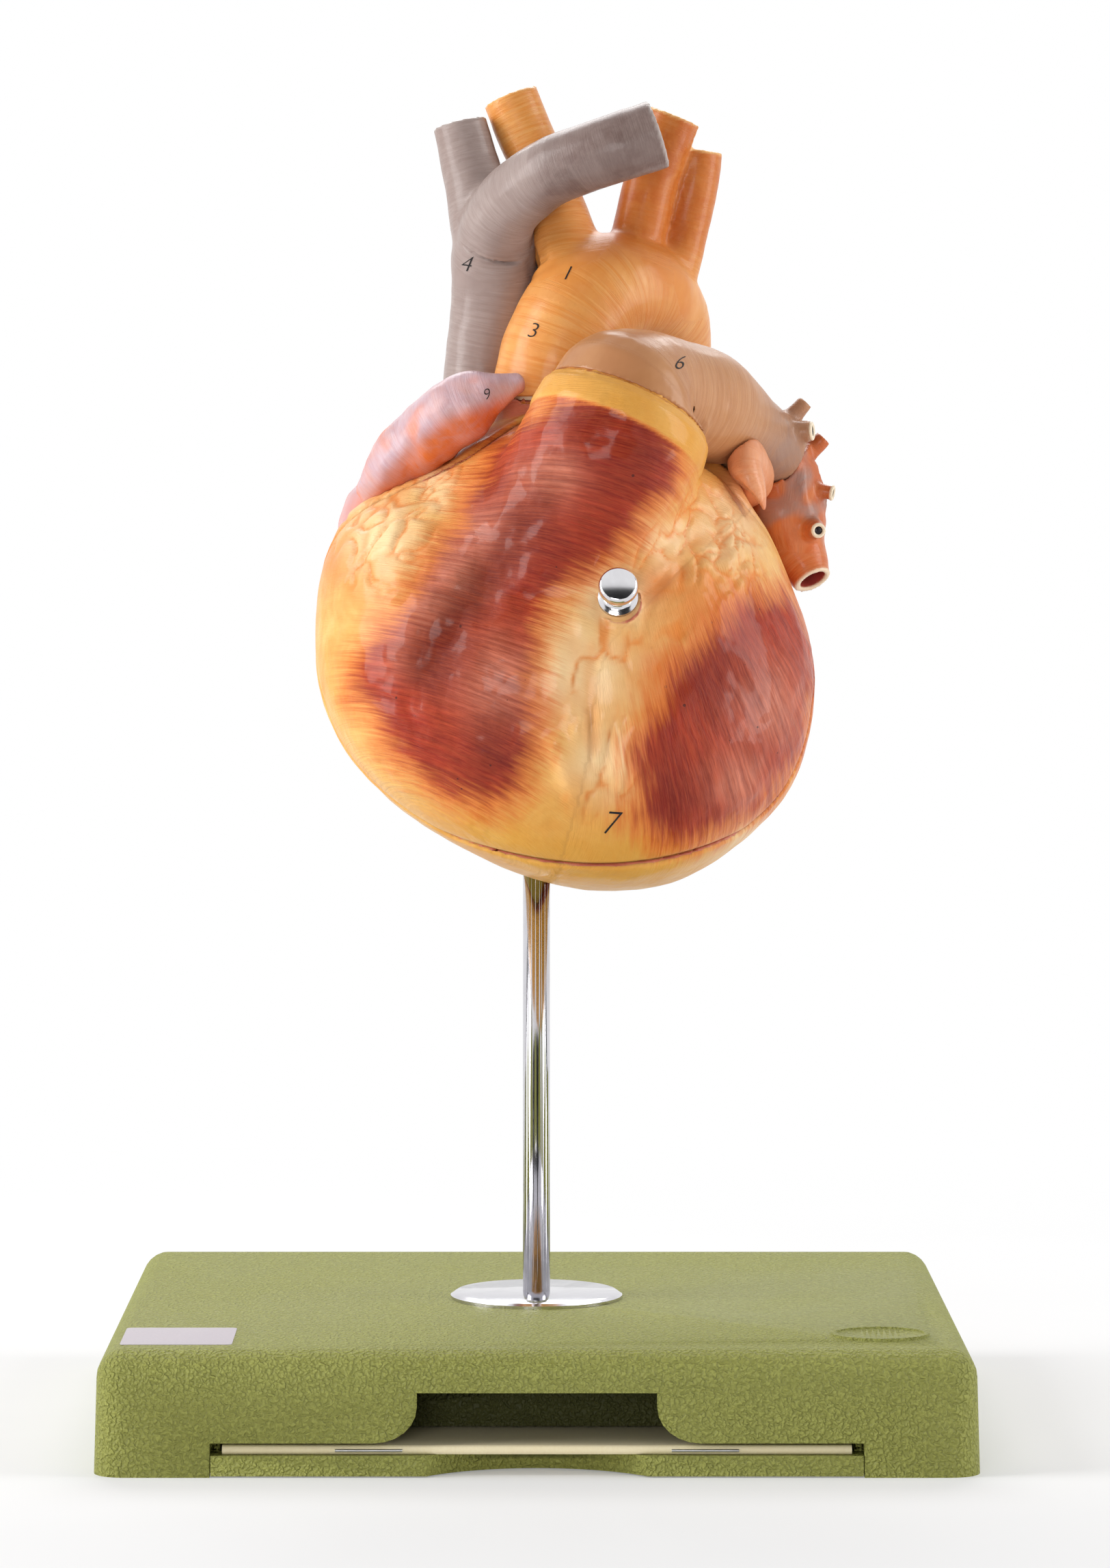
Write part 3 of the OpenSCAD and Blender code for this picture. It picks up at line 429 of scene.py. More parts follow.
# centre line of the outflow: x, y, z and radius
OUTFLOW = [(1, -11, 50, 24), (7, -22, 72, 21), (*(RING_AT - 9 * RING_DIRECTION), RING_RADIUS + 0.8),
           (*RING_AT, RING_RADIUS), (*(RING_AT + 3 * RING_DIRECTION), RING_RADIUS)]


def belly_ring(t):
    """Ring of the egg: t runs from -1 at the back over 0, the widest, to 1 at the front."""
    a = math.radians(90 * abs(t))
    size = max(math.cos(a), 0.002) ** 0.8
    depth = -FRONT_DEPTH * math.sin(a) if t > 0 else REAR_DEPTH * math.sin(a)
    drop = FRONT_DROP * math.sin(a) ** 2 if t > 0 else -REAR_RISE * math.sin(a) ** 2
    return [(MIDDLE[0] + (x - MIDDLE[0]) * size, depth, MIDDLE[2] - drop + (z - MIDDLE[2]) * size)
            for x, z in loop_through(WIDEST, 6)]


def make_ventricle_form():
    bm = bmesh.new()
    lofted(bm, [belly_ring(t) for t in np.linspace(-POLE, POLE, 49)])
    lofted(bm, tube_rings(OUTFLOW, 6, 48))
    bmesh.ops.recalc_face_normals(bm, faces=bm.faces)
    form = even_skin(as_mesh(bm, "rough form"), 1.1)
    relaxed(form, 60, keep_volume=False)
    return form


ventricle_form = make_ventricle_form()
print("ventricle form:", len(ventricle_form.vertices), "points")

# %% [markdown]
# ## Reading and writing values on a surface
#
# The paint isn't the same all over: muscle shows in two large red patches, with yellow fat between them.
# Those patches are outlines on the surface, so we work out a value for every point of the mesh and store
# it as a named attribute, which the material reads back.

# %% Masks on points
noise.seed_set(7)                             # noise_vector follows the clock without a seed
FAR_AWAY = 1e9                                # farther than any point


def smooth_step(value, low, high):
    """0 up to low, 1 from high on, smooth between."""
    t = np.clip((value - low) / (high - low), 0, 1)
    return t * t * (3 - 2 * t)


def heart_mm(points):
    """Points in millimetres from the socket's mouth."""
    return points / MM - np.array((0, 0, HEART_ZERO / MM))


def edge_distance(x, z, start, end):
    """Distance of points from a straight edge, and how far along it they are, from 0 to 1."""
    (ax, az), (bx, bz) = start, end
    ex, ez = bx - ax, bz - az
    t = np.clip(((x - ax) * ex + (z - az) * ez) / (ex * ex + ez * ez), 0, 1)
    return np.hypot(x - ax - t * ex, z - az - t * ez), t


def inside_distance(x, z, outline):
    """Distance from a closed outline in the X-Z plane, positive inside."""
    p = np.array(outline, float)
    nearest = np.full(len(x), FAR_AWAY)
    inside = np.zeros(len(x), bool)
    for a, b in zip(p, np.roll(p, -1, axis=0)):
        nearest = np.minimum(nearest, edge_distance(x, z, a, b)[0])
        crossing = a[0] + (z - a[1]) * (b[0] - a[0]) / ((b[1] - a[1]) or 1e-9)
        inside ^= ((a[1] > z) != (b[1] > z)) & (x < crossing)
    return np.where(inside, nearest, -nearest)


def line_distance(x, z, line):
    """Distance from an open line in the X-Z plane, and the share of the way along it."""
    p = np.array(line, float)
    nearest = np.full(len(x), FAR_AWAY)
    share = np.zeros(len(x))
    for i, (a, b) in enumerate(zip(p, p[1:])):
        d, t = edge_distance(x, z, a, b)
        share = np.where(d < nearest, (i + t) / (len(p) - 1), share)
        nearest = np.minimum(nearest, d)
    return nearest, share


def store(mesh, name, values):
    """Keeps one number, or one vector, per point under a name."""
    kind = "FLOAT" if values.ndim == 1 else "FLOAT_VECTOR"
    kept = mesh.attributes.get(name) or mesh.attributes.new(name, kind, "POINT")
    kept.data.foreach_set("value" if values.ndim == 1 else "vector", values.astype(np.float32).ravel())


def noise_at(points, scale, seed=0.0):
    """Soft noise from -1 to 1 at each point; scale is the size of a blot in millimetres."""
    shift = Vector((seed, seed * 1.7, -seed))
    return np.array([noise.noise(Vector(p) / scale + shift) for p in points])


def lobes_at(points, cell, turn, seed=0.0):
    """Rounded lobes like fat: how far each point is from the crease round its lobe, 0 in the crease.
    cell is a lobe's length and width in millimetres, and turn its lean in the X-Z plane."""
    c, s = math.cos(math.radians(turn)), math.sin(math.radians(turn))
    made = np.empty(len(points))
    for i, (x, y, z) in enumerate(points):
        q = Vector(((c * x + s * z) / cell[0], y / cell[1], (c * z - s * x) / cell[1]))
        q += 0.5 * noise.noise_vector(q * 1.2 + Vector((seed, 0, 0)))
        far = noise.voronoi(q + Vector((seed, seed, 0)))[0]
        made[i] = far[1] - far[0]
    return made


print("mask helpers ready")

# %% [markdown]
# ## The ventricles: fat, muscle and creases
#
# Every field of fat has its own lobes: round ones at the upper left, slanting wrinkles at the upper
# right, long soft folds under the knob. They are real relief, up to two millimetres high, so they catch
# the light from any side. The muscle is smoother, with a ridge and a long hollow down the right
# ventricle. Outlines and spots are (x, z) in heart millimetres, seen from in front.

# %% Where the paint goes
MUSCLE_RIGHT = [(0, 98.6), (5, 103), (18, 103), (27, 98.6), (30.2, 92.7), (31, 86.8), (27, 82), (21, 75),
                (16, 70), (10, 66), (3, 58), (0, 52), (-1.5, 43), (-1, 36), (0, 28), (-3, 20), (-10, 15),
                (-18, 17), (-25, 22), (-32, 30), (-38, 38), (-39, 45), (-35, 51), (-28, 58), (-22, 67),
                (-16.5, 75.5), (-13.5, 84), (-10, 93)]
MUSCLE_LEFT = [(22, 20), (21, 13), (28, 7), (39, 8.5), (50, 14), (59, 26), (63, 40), (63, 50), (59, 56),
               (54, 61), (48, 60), (41, 56), (34.5, 49.5), (29, 43), (26, 35.5), (22, 27)]
MUSCLE_BACK_LEFT = [(10, 12), (30, 6), (48, 20), (56, 42), (50, 62), (34, 70), (20, 62), (12, 40)]
MUSCLE_BACK_RIGHT = [(-4, 14), (-24, 20), (-40, 36), (-42, 54), (-28, 60), (-10, 52), (-2, 34)]
HOLLOW_LINE = [(8, 92), (3, 84), (-5, 72), (-10, 65), (-15.5, 57.5), (-20.5, 50), (-22.5, 43), (-19, 33)]
RIDGE_LINE = [(1, 92), (-2, 83), (-11, 70), (-20, 58), (-28, 47), (-31, 39)]
# field of fat: middle, half sizes, lean of the field, lobe (length, width), lean of the lobes, relief in
# millimetres, share of the creases that are open
FAT_FIELDS = [
    ((-33, 72), (12, 14), 20, (9, 7), 30, 0.75, 0.8),
    ((-22, 86), (8, 8), 0, (6, 5), 20, 0.5, 0.7),
    ((32, 72), (17, 12), -25, (13, 6), 52, 0.7, 0.8),
    ((42, 66), (9, 10), 0, (10, 5), 62, 0.6, 0.7),
    ((12, 45), (10, 16), -8, (18, 8), 96, 0.7, 0.45),
    ((14, 24), (10, 13), 10, (18, 6.5), 80, 0.9, 0.5),
    ((27, 50), (8, 12), 0, (14, 7), 64, 0.6, 0.45),
]
FAT_FIELDS_BACK = [
    ((5, 40), (8, 34), 4, (7, 5), 80, 0.9, 0.5),
    ((2, 76), (44, 9), -8, (7, 5), 5, 0.9, 0.5),
]
# folds of fat: line, half width, height, which is below 0 for a crease
FAT_FOLDS = [([(3, 32), (6, 23), (9, 15)], 2.2, 1.0), ([(23, 36), (20, 26), (17, 17)], 2.4, 0.9),
             ([(13, 56), (11, 44), (12, 32), (13, 21)], 3.2, -0.7), ([(34, 68), (27, 63), (21, 59)], 1.5, -0.7),
             ([(40, 80), (43, 70), (40, 62)], 1.6, 0.7), ([(-41, 60), (-38, 68), (-36, 76)], 1.3, -0.5)]
# broad lumps and dents: middle, size, height
LUMPS = [((-10, 44), 9, 1.1), ((-15, 24), 6, 0.6), ((12, 92), 12, 0.6), ((44, 34), 12, 0.6), ((0, 20), 5, -0.5),
         ((-30, 76), 6, 0.7), ((26, 84), 5, 0.6), ((41, 86), 6, 2.2)]
# spots of a colour, each with its size: orange, partly painted shade, and cream on the fat;
# dark red, and pink that is partly painted highlight, on the muscle
SPOTS = {
    "orange_and_shade": [((-45, 68), 8), ((1, 38), 6), ((36, 57), 9), ((27, 44), 8), ((10, 88), 4), ((44, 82), 7),
             ((27, 62), 6), ((-24, 92), 7)],
    "pale": [((8, 45), 12), ((15, 60), 8), ((-33, 72), 9), ((42, 74), 8), ((14, 25), 8), ((28, 72), 6),
             ((46, 8), 7), ((-22, 84), 5)],
    "dark": [((22, 92), 9), ((12, 97), 7), ((0, 72), 9), ((-20.6, 48.6), 7), ((-8, 27), 9), ((37.5, 43), 9),
             ((30, 18), 8), ((-12, 84), 5)],
    "salmon_and_highlight": [((-18, 66), 7), ((-23, 58), 7), ((-13, 75), 6), ((-8, 42), 10), ((51, 36), 10), ((4, 87), 6),
               ((44, 20), 8)],
}
# the parting line of the two halves, seen from the side: (y, z)
PARTING = [(-60, -20), (-33, 2), (-20, 8), (-13.5, 17), (-8.5, 28), (-7.5, 36), (2, 56), (-4, 72), (-12, 90),
           (-12, 130)]
SEAM_SINK, SEAM_HALF = 0.8, 0.9               # depth and half width of the groove at the seam
# the dark line in the seam's groove is painted shade
SEAM_LINE = 0.45                              # half width of the dark line in it


def field_weight(x, z, field):
    """1 in the middle of a field of fat, 0 outside it."""
    (mx, mz), (hx, hz), lean = field[:3]
    c, s = math.cos(math.radians(lean)), math.sin(math.radians(lean))
    u, v = c * (x - mx) + s * (z - mz), c * (z - mz) - s * (x - mx)
    return 1 - smooth_step(np.hypot(u / hx, v / hz), 0.6, 1.3)


def seam_distance(p):
    """Distance of each point from the parting line, seen from the side."""
    return line_distance(p[:, 1], p[:, 2], PARTING)[0]


def above_ring(p):
    """Height of each point over the ring of the lung artery, along the ring's direction."""
    return (p - RING_AT) @ RING_DIRECTION


def band_under_ring(p):
    """1 on the gold band that runs round under the ring of the lung artery."""
    up = above_ring(p)
    place = smooth_step(up, -8.5, -6.5) * (1 - smooth_step(up, -2.2, -0.8))
    return place * (p[:, 1] < -14) * (np.abs(p[:, 0] - RING_AT[0]) < 26)


# %% Muscle and the run of its fibres
def muscle_of(p):
    """Millimetres from the rim of the red paint, positive in it, and the brush's way over it."""
    x, y, z = p.T
    wander = 2.0 * noise_at(p, 9, 3.1)
    front = y < 6
    right = np.where(front, inside_distance(x, z, MUSCLE_RIGHT), inside_distance(x, z, MUSCLE_BACK_RIGHT))
    left = np.where(front | (x > 45), inside_distance(x, z, MUSCLE_LEFT),
                    inside_distance(x, z, MUSCLE_BACK_LEFT))
    depth = np.maximum(right, left) + wander
    # no muscle on the raised band under the trunk's ring
    depth = np.clip(depth - 14 * smooth_step(above_ring(p), -8, -6) * (y < -10), -12, 12)
    # the brush runs down to the right over the right patch, and up along the left one
    lean = np.where(right > left, np.radians(-12 - 0.22 * (95 - z)), np.radians(-72 + 0.5 * (x - 40)))
    c, s = np.cos(lean), np.sin(lean)
    u, v = x - 5, z - 55
    return depth, np.stack([c * u + s * v, c * v - s * u + 0.3 * y, 0.2 * y], 1)


# %% Relief of the ventricles
def fold_along(x, z, line, width, onset, wander=0.0):
    """1 along a line, fading over a width, over the first part of the line and over its last fifth."""
    near, share = line_distance(x, z, line)
    return (np.exp(-((near + wander) / width) ** 2) * smooth_step(share, 0.0, onset)
            * (1 - smooth_step(share, 0.8, 1.0)))


def ventricle_relief(p, depth):
    """Height of the relief in millimetres, and masks from 0 to 1 for creases, hollows and ridges."""
    x, y, z = p.T
    front = y < 4
    muscle = smooth_step(depth, -2, 4)
    relief = 0.35 * noise_at(p, 17, 1.0) + 0.14 * noise_at(p, 6, 2.0) + 0.05 * noise_at(p, 2.2, 2.5)
    crease = np.zeros(len(p))
    for side, fields in ((front, FAT_FIELDS), (~front, FAT_FIELDS_BACK)):
        for number, field in enumerate(fields):
            weight = field_weight(x, z, field) * (1 - smooth_step(depth, -4, 0)) * side
            here = np.where(weight > 0.01)[0]
            if not len(here):
                continue
            lobe, lean, height, share = field[3:]
            edge = lobes_at(p[here], lobe, lean, 3.7 * number)
            broken = smooth_step(noise_at(p[here], 5, 9 + number), 0.35 - share, 0.75 - share)
            groove = (1 - smooth_step(edge, 0.0, 0.15)) * broken
            bulge = smooth_step(edge, 0.0, 0.5)
            relief[here] += weight[here] * height * (0.7 * bulge - 0.3 * groove)
            crease[here] = np.maximum(crease[here], weight[here] * np.maximum(groove, 0.3 * (1 - bulge)))
    for line, width, height in FAT_FOLDS:
        fold = fold_along(x, z, line, width, 0.2)
        relief += front * fold * height
        crease = np.maximum(crease, front * (height < 0) * fold ** 3 * 0.45)
    for (mx, mz), size, height in LUMPS:
        relief += front * height * np.exp(-((x - mx) ** 2 + (z - mz) ** 2) / size ** 2)
    hollow = fold_along(x, z, HOLLOW_LINE, 5.0, 0.3, 1.3 * noise_at(p, 6, 6.6))
    ridge = fold_along(x, z, RIDGE_LINE, 6.5, 0.15, 1.6 * noise_at(p, 8, 5.6))
    relief += front * muscle * (0.9 * ridge - 1.6 * hollow)
    relief += muscle * (0.42 * noise_at(p, 5.5, 7.7) + 0.12 * noise_at(p, 2.0, 8.1))
    relief += 0.6 * band_under_ring(p)
    return relief, crease, front * muscle * hollow, front * muscle * ridge


print("relief ready:", len(FAT_FIELDS) + len(FAT_FIELDS_BACK), "fields of fat")

# %% [markdown]
# ### Bringing a cast onto the form
#
# A copy of the frame's cast gets an even skin of small faces. Points of its outer surface lie within a
# few millimetres of the true form and face the same way; those are moved onto it and then raised or
# sunk by the relief. The seam, the chambers and the bores face elsewhere and stay where they are.

# %% Copies of the frame's nodes
def merged_copy(node, name):
    """A copy of a node's mesh with its loose triangles joined."""
    bm = bmesh.new()
    bm.from_mesh(NODES[node].data)
    bmesh.ops.remove_doubles(bm, verts=bm.verts, dist=1e-6)
    return as_mesh(bm, name)


def dress(piece, node, material):
    """Puts a finished piece in the place of a node, on the same body and with the same slot."""
    piece.data.materials.clear()
    piece.data.materials.append(material)
    piece.data.polygons.foreach_set("material_index", [0] * len(piece.data.polygons))
    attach(piece, BODY_OF[node])
    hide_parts(node)
    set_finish(piece, SLOT_OF[node])
    return piece


SLOT_OF = {part["node"]: part["material_slot"] for part in frame["record"]["subparts"]}
print("slots:", sorted(set(SLOT_OF.values())))


# %% Onto a form
def search_tree(mesh):
    return BVHTree.FromPolygons([v.co for v in mesh.vertices], [tuple(f.vertices) for f in mesh.polygons])


def brought_onto(mesh, form, reach):
    """Moves the points of the outer surface onto a form; gives 1 for each point that was moved.
    A point counts as outer where the form is within reach, in millimetres, and faces the same way."""
    tree = search_tree(form)
    co, normals = points_of(mesh), normals_of(mesh)
    target = co.copy()
    outer = np.zeros(len(co))
    for i, (point, normal) in enumerate(zip(co, normals)):
        hit, facing, _, far = tree.find_nearest(Vector(point), reach * MM)
        if hit is not None:
            outer[i] = smooth_step(facing.dot(Vector(normal)), 0.35, 0.85)
            outer[i] *= 1 - smooth_step(far / MM, 0.6 * reach, 0.95 * reach)
            target[i] = hit
    set_points(mesh, co + (target - co) * outer[:, None])
    return outer


# %% Cast on form
def raised(mesh, height):
    """Lifts each point off its surface by a height in millimetres."""
    set_points(mesh, points_of(mesh) + normals_of(mesh) * (height * MM)[:, None])


def spots_at(p, spots):
    """1 in the middle of each spot on the chest side, fading outwards, with a wandering rim."""
    wander = 2.5 * noise_at(p, 5, 12.3)
    mask = np.zeros(len(p))
    for (sx, sz), size in spots:
        far = np.hypot(p[:, 0] - sx, p[:, 2] - sz) + wander
        mask = np.maximum(mask, np.exp(-(np.maximum(far, 0) / size) ** 2))
    return mask * (p[:, 1] < 10)


def cast_on_form(node, name, voxel):
    """One half of the ventricles, with its relief and the masks for its paint."""
    mesh = even_skin(merged_copy(node, name), voxel)
    mesh.name = name
    relaxed(mesh, 6)
    outer = brought_onto(mesh, ventricle_form, 4)
    p = heart_mm(points_of(mesh))
    depth, fibre = muscle_of(p)
    relief, crease, hollow, ridge = ventricle_relief(p, depth)
    seam = seam_distance(p)
    # both halves are rounded off towards the seam
    relief = relief * smooth_step(seam, 0.3, 4) - SEAM_SINK * np.exp(-(seam / SEAM_HALF) ** 2)
    relaxed(mesh, 2, outer, keep_volume=False)
    raised(mesh, relief * outer)
    # the fat turns yellow low down, and on the band under the ring
    low = np.maximum(smooth_step(-p[:, 2], -34, 2), smooth_step(above_ring(p), -9, -6))
    masks = {"depth": depth, "crease": crease, "hollow": hollow, "ridge": ridge, "fibre": fibre,
             "outer": outer, "seam": np.exp(-(seam / SEAM_LINE) ** 2), "low": low}
    masks.update({label: spots_at(p, spots) for label, spots in SPOTS.items()})
    for label, values in masks.items():
        store(mesh, label, values)
    mesh.shade_smooth()
    print(name, len(mesh.polygons), "faces, outer share", round(float(outer.mean()), 2))
    return as_object(name, mesh)


# %% [markdown]
# ### Paint of the ventricles
#
# The painter laid cream and yellow first, then brick red over the muscle with a half dry brush, so the
# red breaks up into streaks at its rim. Creases in the fat are washed with orange. A thin varnish gives
# everything a soft shine.

# %% Heart paint
def heart_paint():
    made, tree, shader = new_material("heart paint", Coat_Weight=0.22, Coat_Roughness=0.14,
                                      Specular_IOR_Level=0.14)
    place = object_place(tree)
    depth, low, orange_and_shade, pale, crease, ridge, salmon_and_highlight, dark, hollow, seam, outer = (
        stored(tree, name) for name in ("depth", "low", "orange_and_shade", "pale", "crease", "ridge", "salmon_and_highlight", "dark",
                                        "hollow", "seam", "outer"))
    fibre = stored(tree, "fibre", "Vector")
    streak, hair = use(tree, STREAKS, Vector=fibre, Length=13.0, Width=0.75)[:]
    wide, thin = use(tree, STREAKS, Vector=fibre, Length=24.0, Width=3.6)[:]
    blot = use(tree, SMUDGES, Vector=place, Scale=75.0)["Mark"]
    broad = use(tree, SMUDGES, Vector=place, Scale=26.0)["Mark"]

    # fat: honey and orange, yellow low down, orange spots that are partly painted shade,
    # cream on the heights, orange in the creases
    fat = layered(tree, srgb(242, 198, 122), (broad, 0.8, srgb(228, 160, 72)), (blot, 0.5, srgb(218, 134, 52)),
                  (low, 0.7, srgb(222, 158, 64)), (orange_and_shade, 0.75, srgb(214, 112, 38)),
                  (pale, 0.75, srgb(250, 224, 176)), (crease, 0.8, srgb(228, 128, 44)))

    # muscle: brick red, painted highlight on the ridge, pink spots that are partly painted highlight,
    # dark red spots, painted shade in the hollow, dark and orange streaks
    muscle = layered(tree, srgb(156, 34, 16), (wide, 0.7, srgb(198, 68, 32)), (ridge, 0.5, srgb(222, 146, 118)),
                     (salmon_and_highlight, 0.75, srgb(232, 152, 124)), (dark, 0.7, srgb(112, 20, 10)),
                     (hollow, 0.75, srgb(88, 16, 8)), (streak, 0.56, srgb(104, 16, 8)),
                     (thin, 0.3, srgb(98, 16, 8)), (hair, 0.22, srgb(214, 100, 56)))

    # the red thins out along the brush, over an orange wash
    brush = plus(tree, times(tree, wide, 1.7), plus(tree, times(tree, streak, 2.6), times(tree, hair, 1.6)))
    brushed = plus(tree, depth, brush)
    red = between(tree, brushed, 0.4, 6.8)
    skin = layered(tree, fat, (between(tree, brushed, -4.5, 3.0), 0.8, srgb(216, 108, 42)))
    skin = mixed(tree, red, skin, muscle)
    # painted shade: a dark line along the seam's groove between the two halves
    skin = layered(tree, skin, (seam, 0.8, srgb(112, 62, 30)))

    # cut faces and chambers
    cut = mixed(tree, blot, srgb(206, 122, 94), srgb(182, 92, 70))
    skin = mixed(tree, between(tree, outer, 0.15, 0.6), cut, skin)

    # air pits, nearly all of them in the red, darkened as painted shade in the pits
    pits = use(tree, PITS, Vector=place, Spacing=0.0034, Size=0.085, Share=0.36)["Pit"]
    pits = times(tree, pits, plus(tree, times(tree, red, 0.9), 0.1))
    skin = layered(tree, skin, (pits, 0.8, srgb(70, 26, 20)))
    feed(tree, shader, Base_Color=skin, Roughness=plus(tree, times(tree, blot, 0.14), 0.4))
    fine = add(tree, "TexNoise", {"Vector": place, "Scale": 330.0, "Detail": 4.0}).outputs[0]
    soft = add(tree, "TexNoise", {"Vector": place, "Scale": 210.0, "Detail": 2.0}).outputs[0]
    height = plus(tree, plus(tree, times(tree, hair, 0.35), fine), times(tree, soft, 2.0))
    bump(tree, shader, maths(tree, "SUBTRACT", height, times(tree, pits, 2.5)), 0.45, 0.0005)
    return made


HEART_PAINT = heart_paint()
CAST_VOXEL = 0.74                             # millimetres; smaller faces would be too many
dress(cast_on_form("front_wall", "front_wall_cast", CAST_VOXEL), "front_wall", HEART_PAINT)
dress(cast_on_form("ventricle_rear", "rear_half_cast", CAST_VOXEL), "ventricle_rear", HEART_PAINT)

# %% [markdown]
# ## The vessels
#
# Arteries and veins are smooth tubes that flow into each other. Each is written down as its centre line
# of (x, y, z, radius) in heart millimetres, skinned with rings, fused, and relaxed so that the forks are
# rounded; then the frame's cast is brought onto that form. For each point we also need to know how far
# along its tube it lies, so that the brush can run round the tube wherever it bends.

# %% Centre lines and radii
ARCH = [(2, 2, 98, 12.6), (3, 2, 106, 12.5), (5, 2, 114, 12.5), (9.5, 4, 122, 12.7), (16, 9, 127, 13),
        (23, 16, 126.5, 12.3), (28, 25, 121, 11), (29.5, 31, 113, 10.3), (30, 34, 105, 10)]
ARCH_BRANCHES = [
    [(7.4, 8, 131, 8.8), (5.6, 12, 141, 7.3), (2.6, 15, 151, 6.3), (-2, 17, 161.5, 6.3), (-5.9, 18, 171, 6.3)],
    [(21, 13, 132, 6.5), (23, 14.5, 141, 6), (25.4, 15, 151, 5.9), (28.6, 15, 161, 6), (30.7, 15, 166.5, 6)],
    [(30, 18, 130, 6), (33, 20, 140.6, 5.6), (35.4, 20, 151, 5.5), (36.5, 20, 159, 5.5)],
]
CAVA = [(-12.2, 16, 103, 9), (-11.6, 16, 112, 8.9), (-10, 15, 121, 9.4), (-8.8, 14, 129, 10.2),
        (-9.2, 12, 137, 10.2), (-11.2, 11, 143, 8.2)]
CAVA_RIGHT = [(-11.2, 11.3, 141, 8), (-12.8, 12.5, 148, 7.3), (-14.8, 14, 155, 6.6), (-17.2, 15, 164.8, 6)]
CAVA_LEFT = [(-10, 11.5, 134, 8), (-9.4, 7.5, 139.5, 8.1), (-6.2, 2, 146, 7.8), (1, -6.5, 151.6, 7.6),
             (8.3, -11.5, 154.7, 7.6), (17.5, -14.5, 157.7, 7.6), (26.8, -14.5, 160.8, 7.6)]
TRUNK = [(*(RING_AT - 4 * RING_DIRECTION), 18.8), (*RING_AT, 18.4), (*(RING_AT + 2 * RING_DIRECTION), 17),
         (24, -22.5, 104, 13.8), (30, -16, 102.8, 12.8), (36, -8.5, 101.3, 12.8), (42, 0, 98, 11),
         (48, 7.5, 94.5, 9.2), (54, 14, 91, 8.2)]
TRUNK_STUBS = [[(50, 11, 94.5, 4.5), (56, 12.5, 98, 2.6), (60.2, 13, 102.3, 1.8)],
               [(49, 9, 94.5, 5), (55.5, 8.5, 95.4, 3.2), (61.2, 7, 95.8, 2.2)]]
LEFT_ROOT = [(53.5, 13.6, 91, 7.5), (54.5, 15.2, 86, 7.8), (55.5, 16, 79, 9), (57, 15.5, 71.5, 8.3),
             (60, 13.5, 66, 5.8), (61.9, 11.5, 62.3, 4.4)]
LEFT_STUBS = [[(56, 16, 87, 4), (60, 16, 90, 2.4), (64.4, 16, 94.3, 1.8)],
              [(57, 15, 83, 4.5), (62, 13, 82.7, 2.2), (66, 12, 82, 1.8)],
              [(58, 14, 74, 4.5), (61.5, 8, 73.9, 2.4), (62.6, 4, 73.7, 1.75)],
              [(57, 20, 84, 4.5), (57, 28, 86, 3.6), (58, 32, 87, 3.3)]]
LEFT_FOOT = [(44, 25, 80, 6), (51, 20, 81, 6), (57, 16, 82, 6)]
RIGHT_ROOT = [[(2, 34, 92, 7), (-10, 37, 93, 7.5), (-22, 37, 92, 7), (-31, 36, 90, 6.5)],
              [(0, 36, 82, 5.5), (-12, 40, 80, 5.5), (-24, 42, 78, 5), (-31, 41, 76, 5)],
              [(4, 38, 76, 5), (-8, 43, 70, 5), (-19, 45, 66, 5), (-27, 44, 62, 5)]]
CAVA_LOW = [(-26, 30, 62, 9), (-26, 35, 54, 9), (-25, 38, 46, 9), (-24, 39, 38, 9)]
RIGHT_AURICLE = [(-38, 2, 81, 3), (-31, -3, 89, 6.5), (-23, -8, 96, 7.5), (-16, -12, 101, 7.5),
                 (-9, -14, 104.5, 4.5), (-3, -14, 106.5, 2)]
LEFT_AURICLE = [(44, 17, 81, 4.5), (47.5, 6, 84.5, 5), (47, -3, 88, 5.6), (45.5, -10, 89.5, 5),
                (46, -13, 84, 4.4), (47.8, -14, 78, 2)]
# the torn side of the aorta's second branch is closed again with a length of the same tube
BRANCH_MEND = [(28.6, 15, 161, 6), (30.45, 15, 165.8, 6)]
WALL = 1.6                                    # wall of that tube


# %% Vessel form
def lengthened(line, run_on, amount=7):
    """A centre line carried on straight past its "first" or "last" point, past "both" or "none" of them.
    The form then reaches past the cut end of the cast, so the cut keeps its sharp rim."""
    p = np.array(line, float)
    ends = []
    for end, inner in ((p[0], p[1]), (p[-1], p[-2])):
        way = (end - inner)[:3]
        ends.append((*(end[:3] + way / np.linalg.norm(way) * amount), end[3]))
    return [ends[0]] * (run_on in ("first", "both")) + [*line] + [ends[1]] * (run_on in ("last", "both"))


def vessel_form(lines, rounding, run_on):
    """The tubes fused into one smooth form; the upper vein's main tube ends inside its own fork."""
    bm = bmesh.new()
    for line in lines:
        lofted(bm, tube_rings(lengthened(line, "first" if line is CAVA else run_on), 5, 40))
    bmesh.ops.recalc_face_normals(bm, faces=bm.faces)
    form = even_skin(as_mesh(bm, "rough vessels"), 0.8)
    relaxed(form, rounding)
    return form


AROUND = 8                                    # millimetres to a radian, round a tube of middling size


def along_tubes(p, lines):
    """For each point: distance along its nearest centre line and round it, and height above that line."""
    best = np.full(len(p), FAR_AWAY)
    along, around, above = np.zeros(len(p)), np.zeros(len(p)), np.zeros(len(p))
    for line in lines:
        start = 0.0
        c = curve_through(line, 3)[:, :3]
        for a, b in zip(c, c[1:]):
            span = b - a
            length = np.linalg.norm(span)
            t = np.clip((p - a) @ span / length ** 2, 0, 1)
            off = p - a - t[:, None] * span
            far = np.linalg.norm(off, axis=1)
            side = np.cross(span / length, (0, 1, 0.2))
            turn = np.arctan2(off @ (side / np.linalg.norm(side)), off @ np.cross(span / length, side))
            nearer = far < best
            best = np.where(nearer, far, best)
            along = np.where(nearer, start + t * length, along)
            around = np.where(nearer, turn * AROUND, around)
            above = np.where(nearer, off[:, 2], above)
            start += length
    return along, around, above


